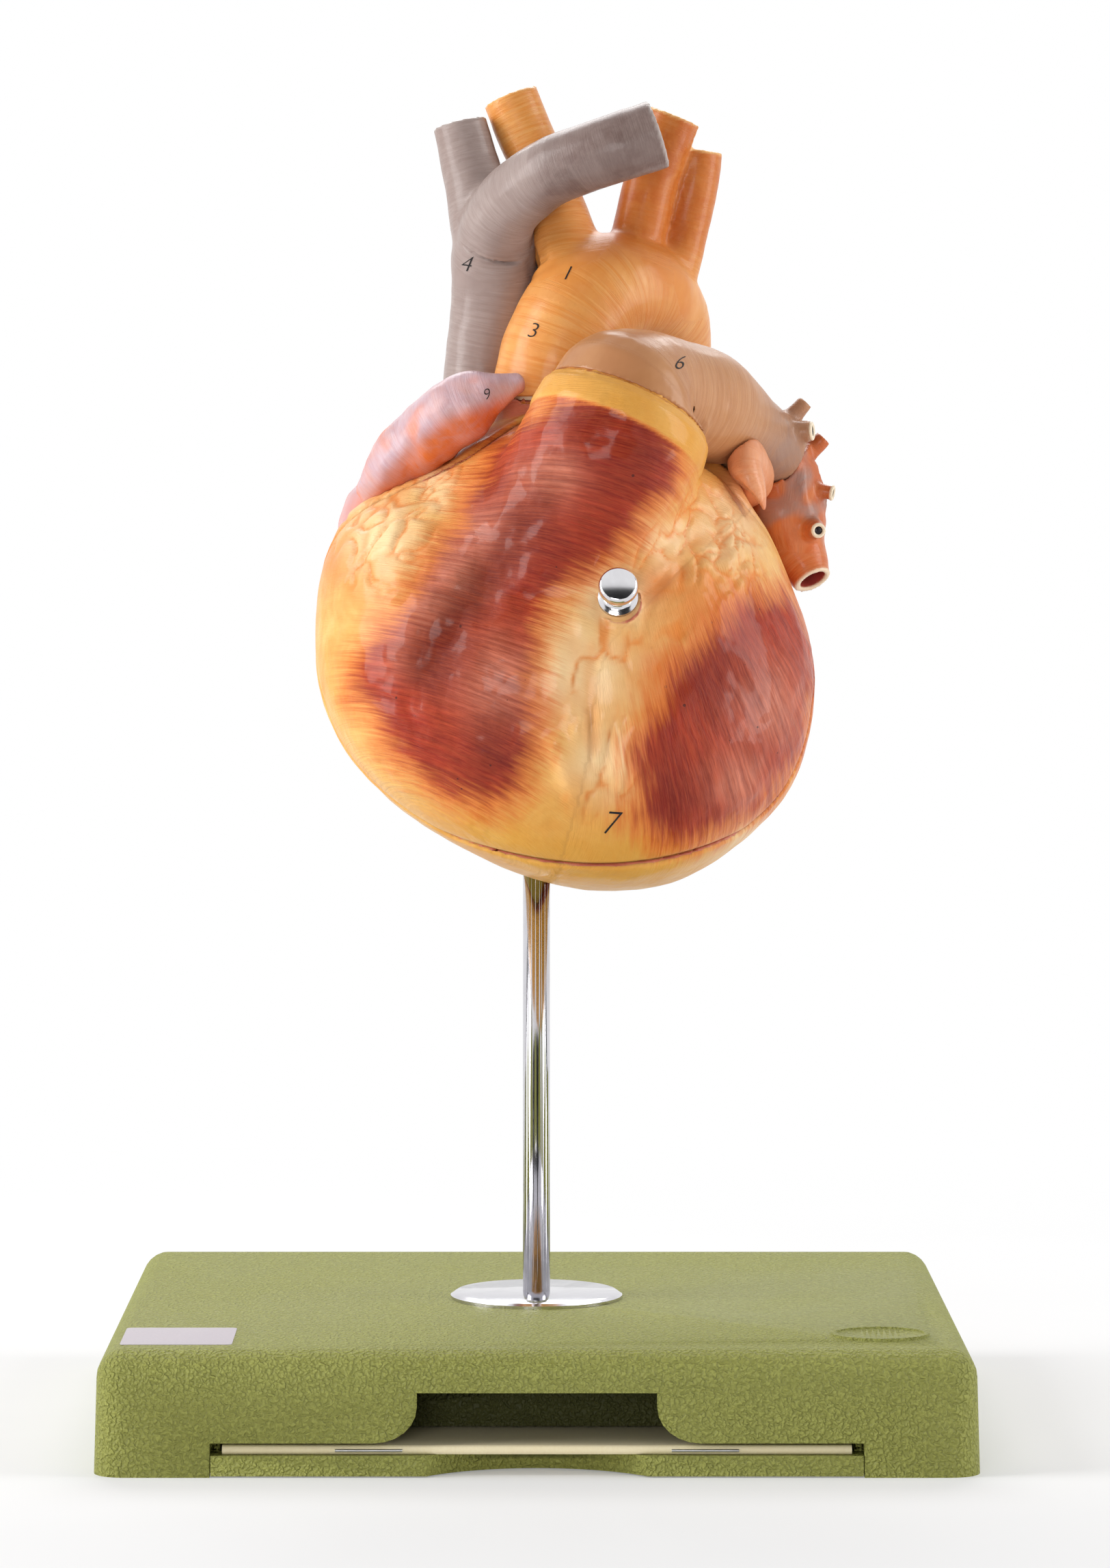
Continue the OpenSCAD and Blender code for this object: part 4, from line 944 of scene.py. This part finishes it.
def cut_ends(p, lines):
    """Masks of the flat rims at the tubes' last points, and of the bores behind them."""
    rim, bore = np.zeros(len(p)), np.zeros(len(p))
    for line in lines:
        tip, before = np.array(line[-1][:3]), np.array(line[-2][:3])
        way = (tip - before) / np.linalg.norm(tip - before)
        past = (p - tip) @ way
        away = np.linalg.norm(p - tip - past[:, None] * way, axis=1) / line[-1][3]
        rim = np.maximum(rim, smooth_step(past, -0.75, -0.25) * (away < 1.12))
        bore = np.maximum(bore, (past > -9.5) * (past < -0.3) * (away < 0.9))
    return rim, bore


# %% Turned pieces
def spun(name, profile, material, segments=32):
    """A closed turned shape about Z from a closed loop of (radius, height) in millimetres."""
    bm = bmesh.new()
    verts = [bm.verts.new((r * MM, 0, h * MM)) for r, h in profile]
    edges = [bm.edges.new((verts[i - 1], verts[i])) for i in range(len(verts))]
    bmesh.ops.spin(bm, geom=verts + edges, axis=(0, 0, 1), cent=(0, 0, 0), angle=2 * math.pi, steps=segments,
                   use_merge=True)
    bmesh.ops.remove_doubles(bm, verts=bm.verts, dist=1e-7)
    bmesh.ops.recalc_face_normals(bm, faces=bm.faces)
    mesh = as_mesh(bm, name)
    mesh.shade_smooth()
    if material:
        mesh.materials.append(material)
    return as_object(name, mesh)


def baked_in(made, matrix, body):
    """Sets a finished piece in place through its vertices, and lets it ride."""
    made.data.transform(matrix)
    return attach(made, body)


def facing(at, way):
    """Place in heart millimetres with Z turned along way."""
    turn = Vector(way).to_track_quat("Z", "Y").to_matrix().to_4x4()
    return Matrix.Translation((at[0] * MM, at[1] * MM, at[2] * MM + HEART_ZERO)) @ turn


# %% Vessel casts
def with_mend(mesh, line, wall):
    """Adds the wall of a tube along a straight line to a mesh, as a closed ring shaped piece."""
    a, b = (Vector(p[:3]) for p in line)
    radius, way = line[0][3], (b - a).normalized()
    section = [(radius, 0), (radius, (b - a).length), (radius - wall, (b - a).length), (radius - wall, 0)]
    piece = spun("mend", section, None, 40)
    piece.data.transform(facing(a, way))
    bm = bmesh.new()
    bm.from_mesh(mesh)
    bm.from_mesh(piece.data)
    bm.to_mesh(mesh)
    bm.free()
    bpy.data.objects.remove(piece)
    return mesh


def vessel_cast(node, name, voxel, lines, rounding, ends=(), run_on="both", swell=0.2, tint=None, mend=None,
                reach=2.2, settle=3):
    """A cast brought onto its tubes. ends are the tubes that end in a cut, swell is the height of its
    bumps, tint gives a mask for the second colour, and settle smooths what was moved."""
    mesh = merged_copy(node, name)
    if mend:
        with_mend(mesh, mend, WALL)
    mesh = even_skin(mesh, voxel)
    mesh.name = name
    relaxed(mesh, 4)
    outer = brought_onto(mesh, vessel_form(lines, rounding, run_on), reach)
    relaxed(mesh, settle, outer)
    p = heart_mm(points_of(mesh))
    along, around, above = along_tubes(p, lines)
    raised(mesh, (swell * noise_at(p, 8, 4.4) + 0.4 * swell * noise_at(p, 3.5, 5.5)) * outer)
    rim, bore = cut_ends(p, ends)
    store(mesh, "fibre", np.stack([around, along, np.zeros(len(p))], 1))
    store(mesh, "rim", rim)
    store(mesh, "bore", bore * (1 - rim) * (outer < 0.5))
    store(mesh, "tint", tint(p, above) if tint else np.zeros(len(p)))
    mesh.shade_smooth()
    return as_object(name, mesh)


def vessel_paint(name, streaks, *colours, rim=(236, 214, 184)):
    """Brushed and varnished tube. Colours: base, light and dark streaks, shade, and the tint."""
    made, tree, shader = new_material(name, Coat_Weight=0.18, Coat_Roughness=0.18, Specular_IOR_Level=0.2)
    base, light, dark, shade, tint, rim = (srgb(*colour) for colour in (*colours, rim))
    place = object_place(tree)
    streak, hair = use(tree, STREAKS, Vector=stored(tree, "fibre", "Vector"), Length=14.0, Width=0.8)[:]
    broad = use(tree, SMUDGES, Vector=place, Scale=40.0)["Mark"]
    fine = use(tree, SMUDGES, Vector=place, Scale=150.0)["Mark"]
    coat = layered(tree, base, (streak, streaks, light), (hair, 0.4 * streaks, dark), (broad, 0.55, shade),
                   (stored(tree, "tint"), plus(tree, times(tree, fine, 0.35), 0.6), tint))
    coat = mixed(tree, stored(tree, "rim"), coat, rim)
    coat = mixed(tree, stored(tree, "bore"), coat, srgb(158, 62, 54))
    pits = use(tree, PITS, Vector=place, Spacing=0.006, Size=0.06, Share=0.25)["Pit"]
    # the pits are darkened: painted shade in them
    feed(tree, shader, Base_Color=layered(tree, coat, (pits, 0.5, dark)),
         Roughness=plus(tree, times(tree, broad, 0.1), 0.32))
    height = maths(tree, "SUBTRACT", hair, times(tree, pits, 1.5))
    soft = add(tree, "TexNoise", {"Vector": place, "Scale": 230.0, "Detail": 3.0}).outputs[0]
    bump(tree, shader, plus(tree, height, times(tree, soft, 1.5)), 0.22, 0.0003)
    return made


ARTERY_PAINT = vessel_paint("artery paint", 0.5, (226, 148, 70), (242, 190, 120), (184, 92, 32),
                            (212, 120, 46), (190, 98, 36), rim=(240, 186, 120))
# its tint colour is painted shade on the upper vein
VEIN_PAINT = vessel_paint("vein paint", 0.5, (158, 140, 134), (180, 164, 157), (104, 86, 82),
                          (138, 118, 111), (108, 86, 80), rim=(178, 164, 158))
TRUNK_PAINT = vessel_paint("lung artery paint", 0.5, (186, 128, 82), (210, 160, 116), (152, 94, 54),
                           (172, 112, 70), (138, 120, 116))
ROOT_PAINT = vessel_paint("lung root paint", 0.4, (208, 112, 56), (228, 158, 108), (146, 64, 28),
                          (172, 76, 32), (150, 124, 116))
AURICLE_PAINT = vessel_paint("auricle paint", 0.4, (190, 164, 176), (214, 196, 206), (196, 116, 90),
                             (222, 150, 116), (222, 112, 40))
EAR_PAINT = vessel_paint("left auricle paint", 0.3, (226, 150, 104), (238, 184, 146), (192, 98, 60),
                         (210, 122, 78), (204, 94, 46))
LIP_PAINT = vessel_paint("lip paint", 0.2, (238, 222, 196), (244, 232, 210), (210, 180, 146),
                         (232, 212, 182), (200, 160, 120))
# near black: painted shade for the twigs' holes
HOLE_SHADE_PAINT = vessel_paint("hole shade paint", 0.3, (34, 22, 26), (44, 30, 34), (24, 14, 16),
                          (30, 18, 20), (30, 18, 20))
VALVE_PAINT = vessel_paint("valve paint", 0.3, (236, 222, 190), (246, 236, 212), (214, 178, 140),
                           (232, 206, 170), (214, 168, 130))
print("nine paints ready")


# %% Vessels in place
EAR_MIDDLE = 47.2                             # X of the middle of the left auricle, heart millimetres


def patches(p, above):
    """Grey patches of the lung root, upwards and towards the front."""
    return smooth_step(noise_at(p, 6, 8.8), -0.1, 0.35) * smooth_step(p[:, 2], 66, 78)


def orange_blots_and_underside_shade(p, above):
    """Orange blots over the right auricle, and orange under it as painted shade."""
    return np.maximum(smooth_step(-above, 0.5, 4), 0.7 * smooth_step(noise_at(p, 6, 2.2), 0.1, 0.45))


aorta = [ARCH] + ARCH_BRANCHES
dress(vessel_cast("aorta", "aorta_cast", 0.6, aorta, 24, aorta, mend=BRANCH_MEND,
                  tint=lambda p, above: smooth_step(p[:, 2], 128, 142) * smooth_step(p[:, 0], 8, 18)),
      "aorta", ARTERY_PAINT)
veins = [CAVA, CAVA_RIGHT, CAVA_LEFT]
# the vein's right side and its arm, beside the aorta, are painted darker: painted shade
dress(vessel_cast("superior_cava", "upper_cava_cast", 0.6, veins, 36, veins[1:], "last", reach=3.4,
                  tint=lambda p, above: smooth_step(p[:, 0], -4, 4) * 0.9), "superior_cava", VEIN_PAINT)
dress(vessel_cast("pulmonary_trunk", "lung_trunk_cast", 0.6, [TRUNK] + TRUNK_STUBS, 20, settle=6,
                  tint=lambda p, above: np.exp(-(((p - (50, 8, 92)) / 12) ** 2).sum(1))),
      "pulmonary_trunk", TRUNK_PAINT)
dress(vessel_cast("left_lung_root", "left_root_cast", 0.45, [LEFT_ROOT, LEFT_FOOT] + LEFT_STUBS, 10,
                  [LEFT_ROOT], swell=0.45, tint=patches), "left_lung_root", ROOT_PAINT)
dress(vessel_cast("right_lung_root", "right_root_cast", 0.6, RIGHT_ROOT, 14, RIGHT_ROOT, swell=0.4,
                  tint=patches), "right_lung_root", ROOT_PAINT)
dress(vessel_cast("inferior_cava", "lower_cava_cast", 0.6, [CAVA_LOW], 8, [CAVA_LOW]),
      "inferior_cava", VEIN_PAINT)
dress(vessel_cast("right_auricle", "right_auricle_cast", 0.5, [RIGHT_AURICLE], 14, run_on="none", swell=1.0,
                  tint=orange_blots_and_underside_shade), "right_auricle", AURICLE_PAINT)
left_ear = vessel_cast("left_auricle", "left_auricle_cast", 0.45, [LEFT_AURICLE], 8, run_on="none", swell=0.4,
                       tint=lambda p, above: smooth_step(-p[:, 2], -82, -77))
relaxed(left_ear.data, 40)
# an upright ear, narrowed towards its middle, with a tip at its outer side
ear = points_of(left_ear.data)
ear_front = smooth_step(-heart_mm(ear)[:, 1], -3, 4)
ear_tip = 1 - smooth_step(heart_mm(ear)[:, 2], 81, 88)
ear[:, 0] += ((EAR_MIDDLE * MM - ear[:, 0]) * (0.2 + 0.08 * ear_tip) + 1.2 * MM * ear_tip) * ear_front
set_points(left_ear.data, ear)
dress(left_ear, "left_auricle", EAR_PAINT)


# %% Atria
def atrium_cast(node, name, lines):
    """The atria are plain lumps: an even skin, relaxed until its facets are gone."""
    mesh = even_skin(merged_copy(node, name), 0.7)
    mesh.name = name
    relaxed(mesh, 50)
    p = heart_mm(points_of(mesh))
    along, around, _ = along_tubes(p, lines)
    raised(mesh, 0.5 * noise_at(p, 7, 3.3))
    store(mesh, "fibre", np.stack([around, along, np.zeros(len(p))], 1))
    store(mesh, "tint", smooth_step(noise_at(p, 12, 1.1), 0.0, 0.6) * 0.6)
    mesh.shade_smooth()
    return as_object(name, mesh)


dress(atrium_cast("right_atrium", "right_atrium_cast", [CAVA]), "right_atrium", AURICLE_PAINT)
dress(atrium_cast("left_atrium", "left_atrium_cast", [LEFT_FOOT]), "left_atrium", AURICLE_PAINT)
print("vessels dressed")

# %% [markdown]
# ### Small openings
#
# The twigs at the left lung end in small holes with a pale lip. Each lip is a ring spun from a rounded
# profile, with a dark disc in it as the painted shade of the hole.

# %% Lips
for number, (line, body) in enumerate(((TRUNK_STUBS[1], "trunk"), (LEFT_STUBS[1], "heart"),
                                       (LEFT_STUBS[2], "heart")), start=1):
    tip, before = Vector(line[-1][:3]), Vector(line[-2][:3])
    way = (tip - before).normalized()
    radius = line[-1][3]
    round_section = [(radius * 0.74 + radius * 0.24 * math.cos(a), 0.42 * math.sin(a))
                     for a in np.linspace(0, 2 * math.pi, 16, endpoint=False)]
    lip = spun("twig_lip_%d" % number, round_section, LIP_PAINT)
    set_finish(baked_in(lip, facing(tip + 0.1 * way, way), body), "cast_vein")
    # a dark disc inside the lip: painted shade of the hole
    shade_dish_section = [(0, -0.3), (radius * 0.7, -0.3), (radius * 0.7, 0.12), (0, 0.06)]
    shade_dish = spun("twig_hole_shade_%d" % number, shade_dish_section, HOLE_SHADE_PAINT)
    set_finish(baked_in(shade_dish, facing(tip + 0.12 * way, way), body), "cast_vein")
print("three open twigs")

# %% [markdown]
# ## The stand
#
# The base is one moulding in olive green with a leather grain. Its edges are round, so a merged copy of
# the frame's solid is shaded smooth except at true corners. Chrome needs little more than a low
# roughness and something to reflect; faint smudges keep it from looking like a mirror ball.

# %% Stand materials
def in_box(tree, place, *sides):
    """1 inside a box with soft sides; each side is (axis, where it is 0, where it is 1) in metres."""
    parts = add(tree, "SeparateXYZ", {0: place}).outputs
    mask = 1.0
    for axis, outside, within in sides:
        mask = times(tree, mask, between(tree, parts[axis], outside, within))
    return mask


def olive_plastic():
    made, tree, shader = new_material("olive plastic", Specular_IOR_Level=0.25)
    place = object_place(tree)
    grain = use(tree, GRAIN, Vector=place, Scale=1650.0)
    cloud = use(tree, SMUDGES, Vector=place, Scale=14.0)["Mark"]
    # the inside of the housing is painted dark, as painted shade, so little of it shows in the window
    inside = in_box(tree, place, ("X", 0.0905, 0.0898), ("X", -0.0905, -0.0898), ("Y", -0.077, -0.066),
                    ("Y", 0.0775, 0.0765), ("Z", 0.0237, 0.0231), ("Z", 0.002, 0.003))
    colour = mixed(tree, cloud, srgb(149, 151, 76), srgb(156, 158, 83))
    colour = layered(tree, colour, (grain["Hollow"], 0.5, srgb(110, 112, 50)), (inside, 0.85, srgb(40, 42, 20)))
    feed(tree, shader, Base_Color=colour, Roughness=plus(tree, times(tree, cloud, 0.08), 0.52))
    bump(tree, shader, grain["Height"], 1.0, 0.00045)
    return made


def metal(name, colour, dull, roughness, scratch=0.12):
    """Metal with faint marks that are duller and rougher."""
    made, tree, shader = new_material(name, Metallic=1.0)
    cloud = use(tree, SMUDGES, Vector=object_place(tree), Scale=90.0)["Mark"]
    feed(tree, shader, Base_Color=layered(tree, colour, (cloud, 0.4, dull)),
         Roughness=plus(tree, times(tree, cloud, scratch), roughness))
    return made


def paper(name, light, dark, scale):
    """A dull finish with fine fibres, for paper, ink and card."""
    made, tree, shader = new_material(name, Roughness=0.75, Specular_IOR_Level=0.3)
    place = object_place(tree)
    fibres = add(tree, "TexNoise", {"Vector": place, "Scale": scale, "Detail": 6.0}).outputs[0]
    tone = use(tree, SMUDGES, Vector=place, Scale=25.0)["Mark"]
    feed(tree, shader, Base_Color=layered(tree, mixed(tree, fibres, light, dark), (tone, 0.4, dark)))
    bump(tree, shader, fibres, 0.2, 0.0001)
    return made


OLIVE = olive_plastic()
CHROME = metal("chrome", srgb(214, 213, 218), srgb(188, 186, 190), 0.09)
SATIN = metal("satin chrome", srgb(226, 225, 228), srgb(206, 204, 208), 0.13, 0.03)
STEEL = metal("screw steel", srgb(190, 190, 192), srgb(150, 148, 146), 0.28)
BRASS = metal("brass", srgb(216, 184, 112), srgb(176, 142, 80), 0.25)
COVER_PAPER = paper("booklet cover", srgb(250, 240, 206), srgb(238, 222, 180), 1800.0)
PAGE_PAPER = paper("booklet pages", srgb(244, 240, 228), srgb(222, 214, 196), 2600.0)
LABEL = paper("blank label", srgb(206, 200, 204), srgb(188, 182, 190), 1500.0)
print("stand materials ready")


# %% Smooth copies of turned and moulded parts
def smooth_copy(node, name, material, corner=32):
    """A merged copy of a node that is smooth except at corners sharper than that many degrees."""
    mesh = merged_copy(node, name)
    mesh.shade_smooth()
    mesh.set_sharp_from_angle(angle=math.radians(corner))
    return dress(as_object(name, mesh), node, material)


def paint_nodes(material, *nodes):
    """Gives a finish to nodes of the frame that keep their own shape."""
    for node in nodes:
        for slot in NODES[node].material_slots:
            slot.material = material


smooth_copy("base_shell", "base_housing", OLIVE)
smooth_copy("base_floor", "base_panel", OLIVE)
smooth_copy("stand_flange", "stand_disc", CHROME)
smooth_copy("stand_rod", "stand_tube", CHROME)
smooth_copy("knob", "pull_knob", SATIN)
smooth_copy("booklet_cover", "booklet_jacket", COVER_PAPER)
paint_nodes(STEEL, "floor_screws", "rod_washer", "rod_nut", "booklet_staples", "locating_pins", "rear_magnets",
            "front_magnets", "trunk_pin")
paint_nodes(BRASS, "turn_washer", "rod_socket", "knob_insert")
paint_nodes(PAGE_PAPER, "booklet_pages")
print("stand dressed")

# %% [markdown]
# ## Valves
#
# The valves only show when the heart is taken apart. They are thin and pale, with a warm tint.

# %% Valve finish
paint_nodes(VALVE_PAINT, "mitral_valve", "tricuspid_valve", "aortic_valve", "pulmonary_valve",
            "papillary_muscles")
print("valves painted")

# %% [markdown]
# ## Sticker and key numbers
#
# A blank sticker lies on the base. The casts carry a few small numbers, as if written with a fine black
# pen. Each number starts as flat text in front of the heart; its points are then thrown backwards until
# they meet the surface, so that the ink follows it.

# %% Sticker
STICKER_AT = (-75.7, 22.2)                    # its middle, in X and from the base's front edge
STICKER_SIDE, STICKER_THICK = 23.5, 0.12
STICKER_CORNER = 1.2                          # radius


def make_sticker():
    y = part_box("base_shell")[0].y + STICKER_AT[1] * MM
    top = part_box("stand_flange")[0].z
    bm = bmesh.new()
    place = Matrix.Translation((STICKER_AT[0] * MM, y, top + STICKER_THICK / 2 * MM))
    size = Matrix.Diagonal((STICKER_SIDE * MM, STICKER_SIDE * MM, STICKER_THICK * MM, 1))
    bmesh.ops.create_cube(bm, size=1, matrix=place @ size)
    bmesh.ops.bevel(bm, geom=[e for e in bm.edges if abs((e.verts[0].co - e.verts[1].co).z) > 1e-5],
                    offset=STICKER_CORNER * MM, segments=4, profile=0.5, affect="EDGES", material=-1)
    mesh = as_mesh(bm, "blank_sticker")
    mesh.materials.append(LABEL)
    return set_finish(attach(as_object("blank_sticker", mesh), "base"), "paper_cover")


make_sticker()
print("sticker ready")


# %% Numbers on the casts
INK = paper("ink", srgb(26, 24, 26), srgb(40, 36, 36), 900.0)
INK_HEIGHT, INK_ROOT = 0.11, -0.15            # top and foot of the ink, off the surface


def written(text, piece, at, size, lean):
    """A number in ink on a piece; at is its middle on the surface, in X and Z heart millimetres."""
    curve = bpy.data.curves.new("text", "FONT")
    curve.body = text
    curve.size = size * MM
    curve.align_x, curve.align_y = "CENTER", "CENTER"
    curve.shear = 0.25
    curve.offset = -0.018 * size * MM
    curve.extrude = 0.5 * MM
    curve.resolution_u = 4
    holder = as_object("text", curve)
    mesh = bpy.data.meshes.new_from_object(holder.evaluated_get(bpy.context.evaluated_depsgraph_get()))
    bpy.data.objects.remove(holder)
    bm = bmesh.new()
    bm.from_mesh(mesh)
    bmesh.ops.remove_doubles(bm, verts=bm.verts, dist=1e-7)
    bmesh.ops.triangulate(bm, faces=bm.faces)
    long_edges = [e for e in bm.edges
                  if e.calc_length() > 0.8 * MM and abs((e.verts[0].co - e.verts[1].co).z) < 1e-6]
    bmesh.ops.subdivide_edges(bm, edges=long_edges, cuts=1, use_grid_fill=False)
    bmesh.ops.triangulate(bm, faces=bm.faces)
    cast = search_tree(piece.data)
    turn = Matrix.Rotation(math.radians(lean), 4, "Y") @ Matrix.Rotation(math.radians(90), 4, "X")
    middle = Vector((at[0] * MM, -20 * MM, at[1] * MM + HEART_ZERO))
    for vert in bm.verts:
        front = vert.co.z > 0
        way = middle + turn @ Vector((vert.co.x, vert.co.y, 0)) - CAMERA_AT
        hit, normal, _, _ = cast.ray_cast(CAMERA_AT + 0.9 * way, way.normalized())
        vert.co = hit + normal * (INK_HEIGHT if front else INK_ROOT) * MM
    bmesh.ops.recalc_face_normals(bm, faces=bm.faces)
    made = as_mesh(bm, "number")
    made.materials.append(INK)
    number = as_object("number_%s_on_%s" % (text, piece.name), made)
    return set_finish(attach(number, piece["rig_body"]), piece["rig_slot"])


for text, piece, at, size, lean in (
        ("4", "upper_cava_cast", (-15.5, 132), 5.0, 8), ("1", "aorta_cast", (6.5, 130), 4.6, 12),
        ("3", "aorta_cast", (-1, 117.5), 4.8, 10), ("6", "lung_trunk_cast", (31, 110.5), 4.6, 10),
        ("9", "right_auricle_cast", (-11, 103.5), 3.4, -20), ("7", "front_wall_cast", (15.8, 10), 7.5, 5)):
    print(written(text, bpy.data.objects[piece], at, size, lean).name)

# %% [markdown]
# ## Studio
#
# A pale floor and a white surround, with soft light from both sides, from behind and above, and a little
# from in front, as for a catalogue. The surround is white only for rays that come from the camera or off
# something shiny, so it doesn't flood the object with light. The floor turns into that white with
# distance, so no horizon shows, and near the stand it keeps its shadow. Black cards in front and at both
# sides give the chrome its dark stripes.

# %% Surround
def rays_that_see_white(tree):
    """1 for rays from the camera, off a shiny surface or through glass."""
    path = add(tree, "LightPath").outputs
    shiny = maths(tree, "MAXIMUM", path["Is Glossy Ray"], path["Is Transmission Ray"])
    return maths(tree, "MAXIMUM", path["Is Camera Ray"], shiny)


AMBIENT = 0.27                                # light of the surround on dull surfaces
world = bpy.data.worlds.new("studio")
bpy.context.scene.world = world
world.use_nodes = True
sky = world.node_tree
seen = rays_that_see_white(sky)
strength = plus(sky, times(sky, seen, 1 - AMBIENT), AMBIENT)
sky.nodes["Background"].inputs["Color"].default_value = (1, 1, 1, 1)
sky.links.new(strength, sky.nodes["Background"].inputs["Strength"])
bpy.context.scene.view_settings.view_transform = "Standard"


# %% Floor
def make_floor():
    bm = bmesh.new()
    bmesh.ops.create_grid(bm, x_segments=1, y_segments=1, size=6.0)
    mesh = as_mesh(bm, "floor")
    made, tree, shader = new_material("floor paint", Roughness=0.9, Specular_IOR_Level=0.0)
    place = object_place(tree)
    grime = use(tree, SMUDGES, Vector=place, Scale=3.0)["Mark"]
    feed(tree, shader, Base_Color=mixed(tree, grime, (0.86, 0.86, 0.86, 1), (0.83, 0.83, 0.83, 1)))
    far = between(tree, add(tree, "VectorMath", {0: place}, operation="LENGTH").outputs["Value"], 0.1, 0.5)
    share = times(tree, rays_that_see_white(tree),
                  plus(tree, times(tree, far, 0.75), 0.25))
    white = add(tree, "Emission", {"Color": (1, 1, 1, 1), "Strength": 1.0})
    blend = add(tree, "MixShader", {0: share, 1: shader.outputs[0], 2: white.outputs[0]})
    tree.links.new(blend.outputs[0], tree.nodes["Material Output"].inputs["Surface"])
    mesh.materials.append(made)
    return as_object("floor", mesh)


make_floor()


# %% Lamps and cards
def aimed(made, at, aim):
    """Places an object and turns its back along -Z to look at a spot."""
    made.location = at
    made.rotation_euler = (Vector(aim) - Vector(at)).to_track_quat("-Z", "Y").to_euler()
    return made


def soft_lamp(name, at, aim, size, power):
    """A soft box that points at a spot; power in watts."""
    lamp = bpy.data.objects.new(name, bpy.data.lights.new(name, "AREA"))
    lamp.data.shape = "RECTANGLE"
    lamp.data.size, lamp.data.size_y = size
    lamp.data.energy = power
    bpy.context.scene.collection.objects.link(lamp)
    return aimed(lamp, at, aim)


def dark_card(name, at, aim, size):
    """A black card that only shiny surfaces see."""
    bm = bmesh.new()
    bmesh.ops.create_grid(bm, x_segments=1, y_segments=1, size=0.5)
    mesh = as_mesh(bm, name)
    mesh.materials.append(CARD_PAPER)
    card = aimed(as_object(name, mesh), at, aim)
    card.scale = (*size, 1)
    card.visible_camera = card.visible_diffuse = card.visible_shadow = False


CARD_PAPER = paper("card", srgb(26, 26, 28), srgb(20, 20, 22), 40.0)
HEART_MIDDLE = (0.0, 0.0, 0.19)
soft_lamp("left box", (-0.95, -0.2, 0.5), HEART_MIDDLE, (0.5, 0.9), 10.5)
soft_lamp("right box", (0.95, -0.12, 0.4), HEART_MIDDLE, (0.45, 0.9), 6.5)
soft_lamp("top box", (0.0, 0.7, 0.9), HEART_MIDDLE, (0.9, 0.6), 6.5)
soft_lamp("front fill", (-0.25, -1.5, 0.2), HEART_MIDDLE, (0.5, 0.5), 6.0)
dark_card("front card", (0.0, -1.9, 0.5), HEART_MIDDLE, (2.4, 3.0))
dark_card("left card", (-1.3, 0.15, 0.4), HEART_MIDDLE, (0.5, 2.0))
dark_card("right card", (1.3, 0.2, 0.4), HEART_MIDDLE, (0.4, 2.0))
print("studio ready")
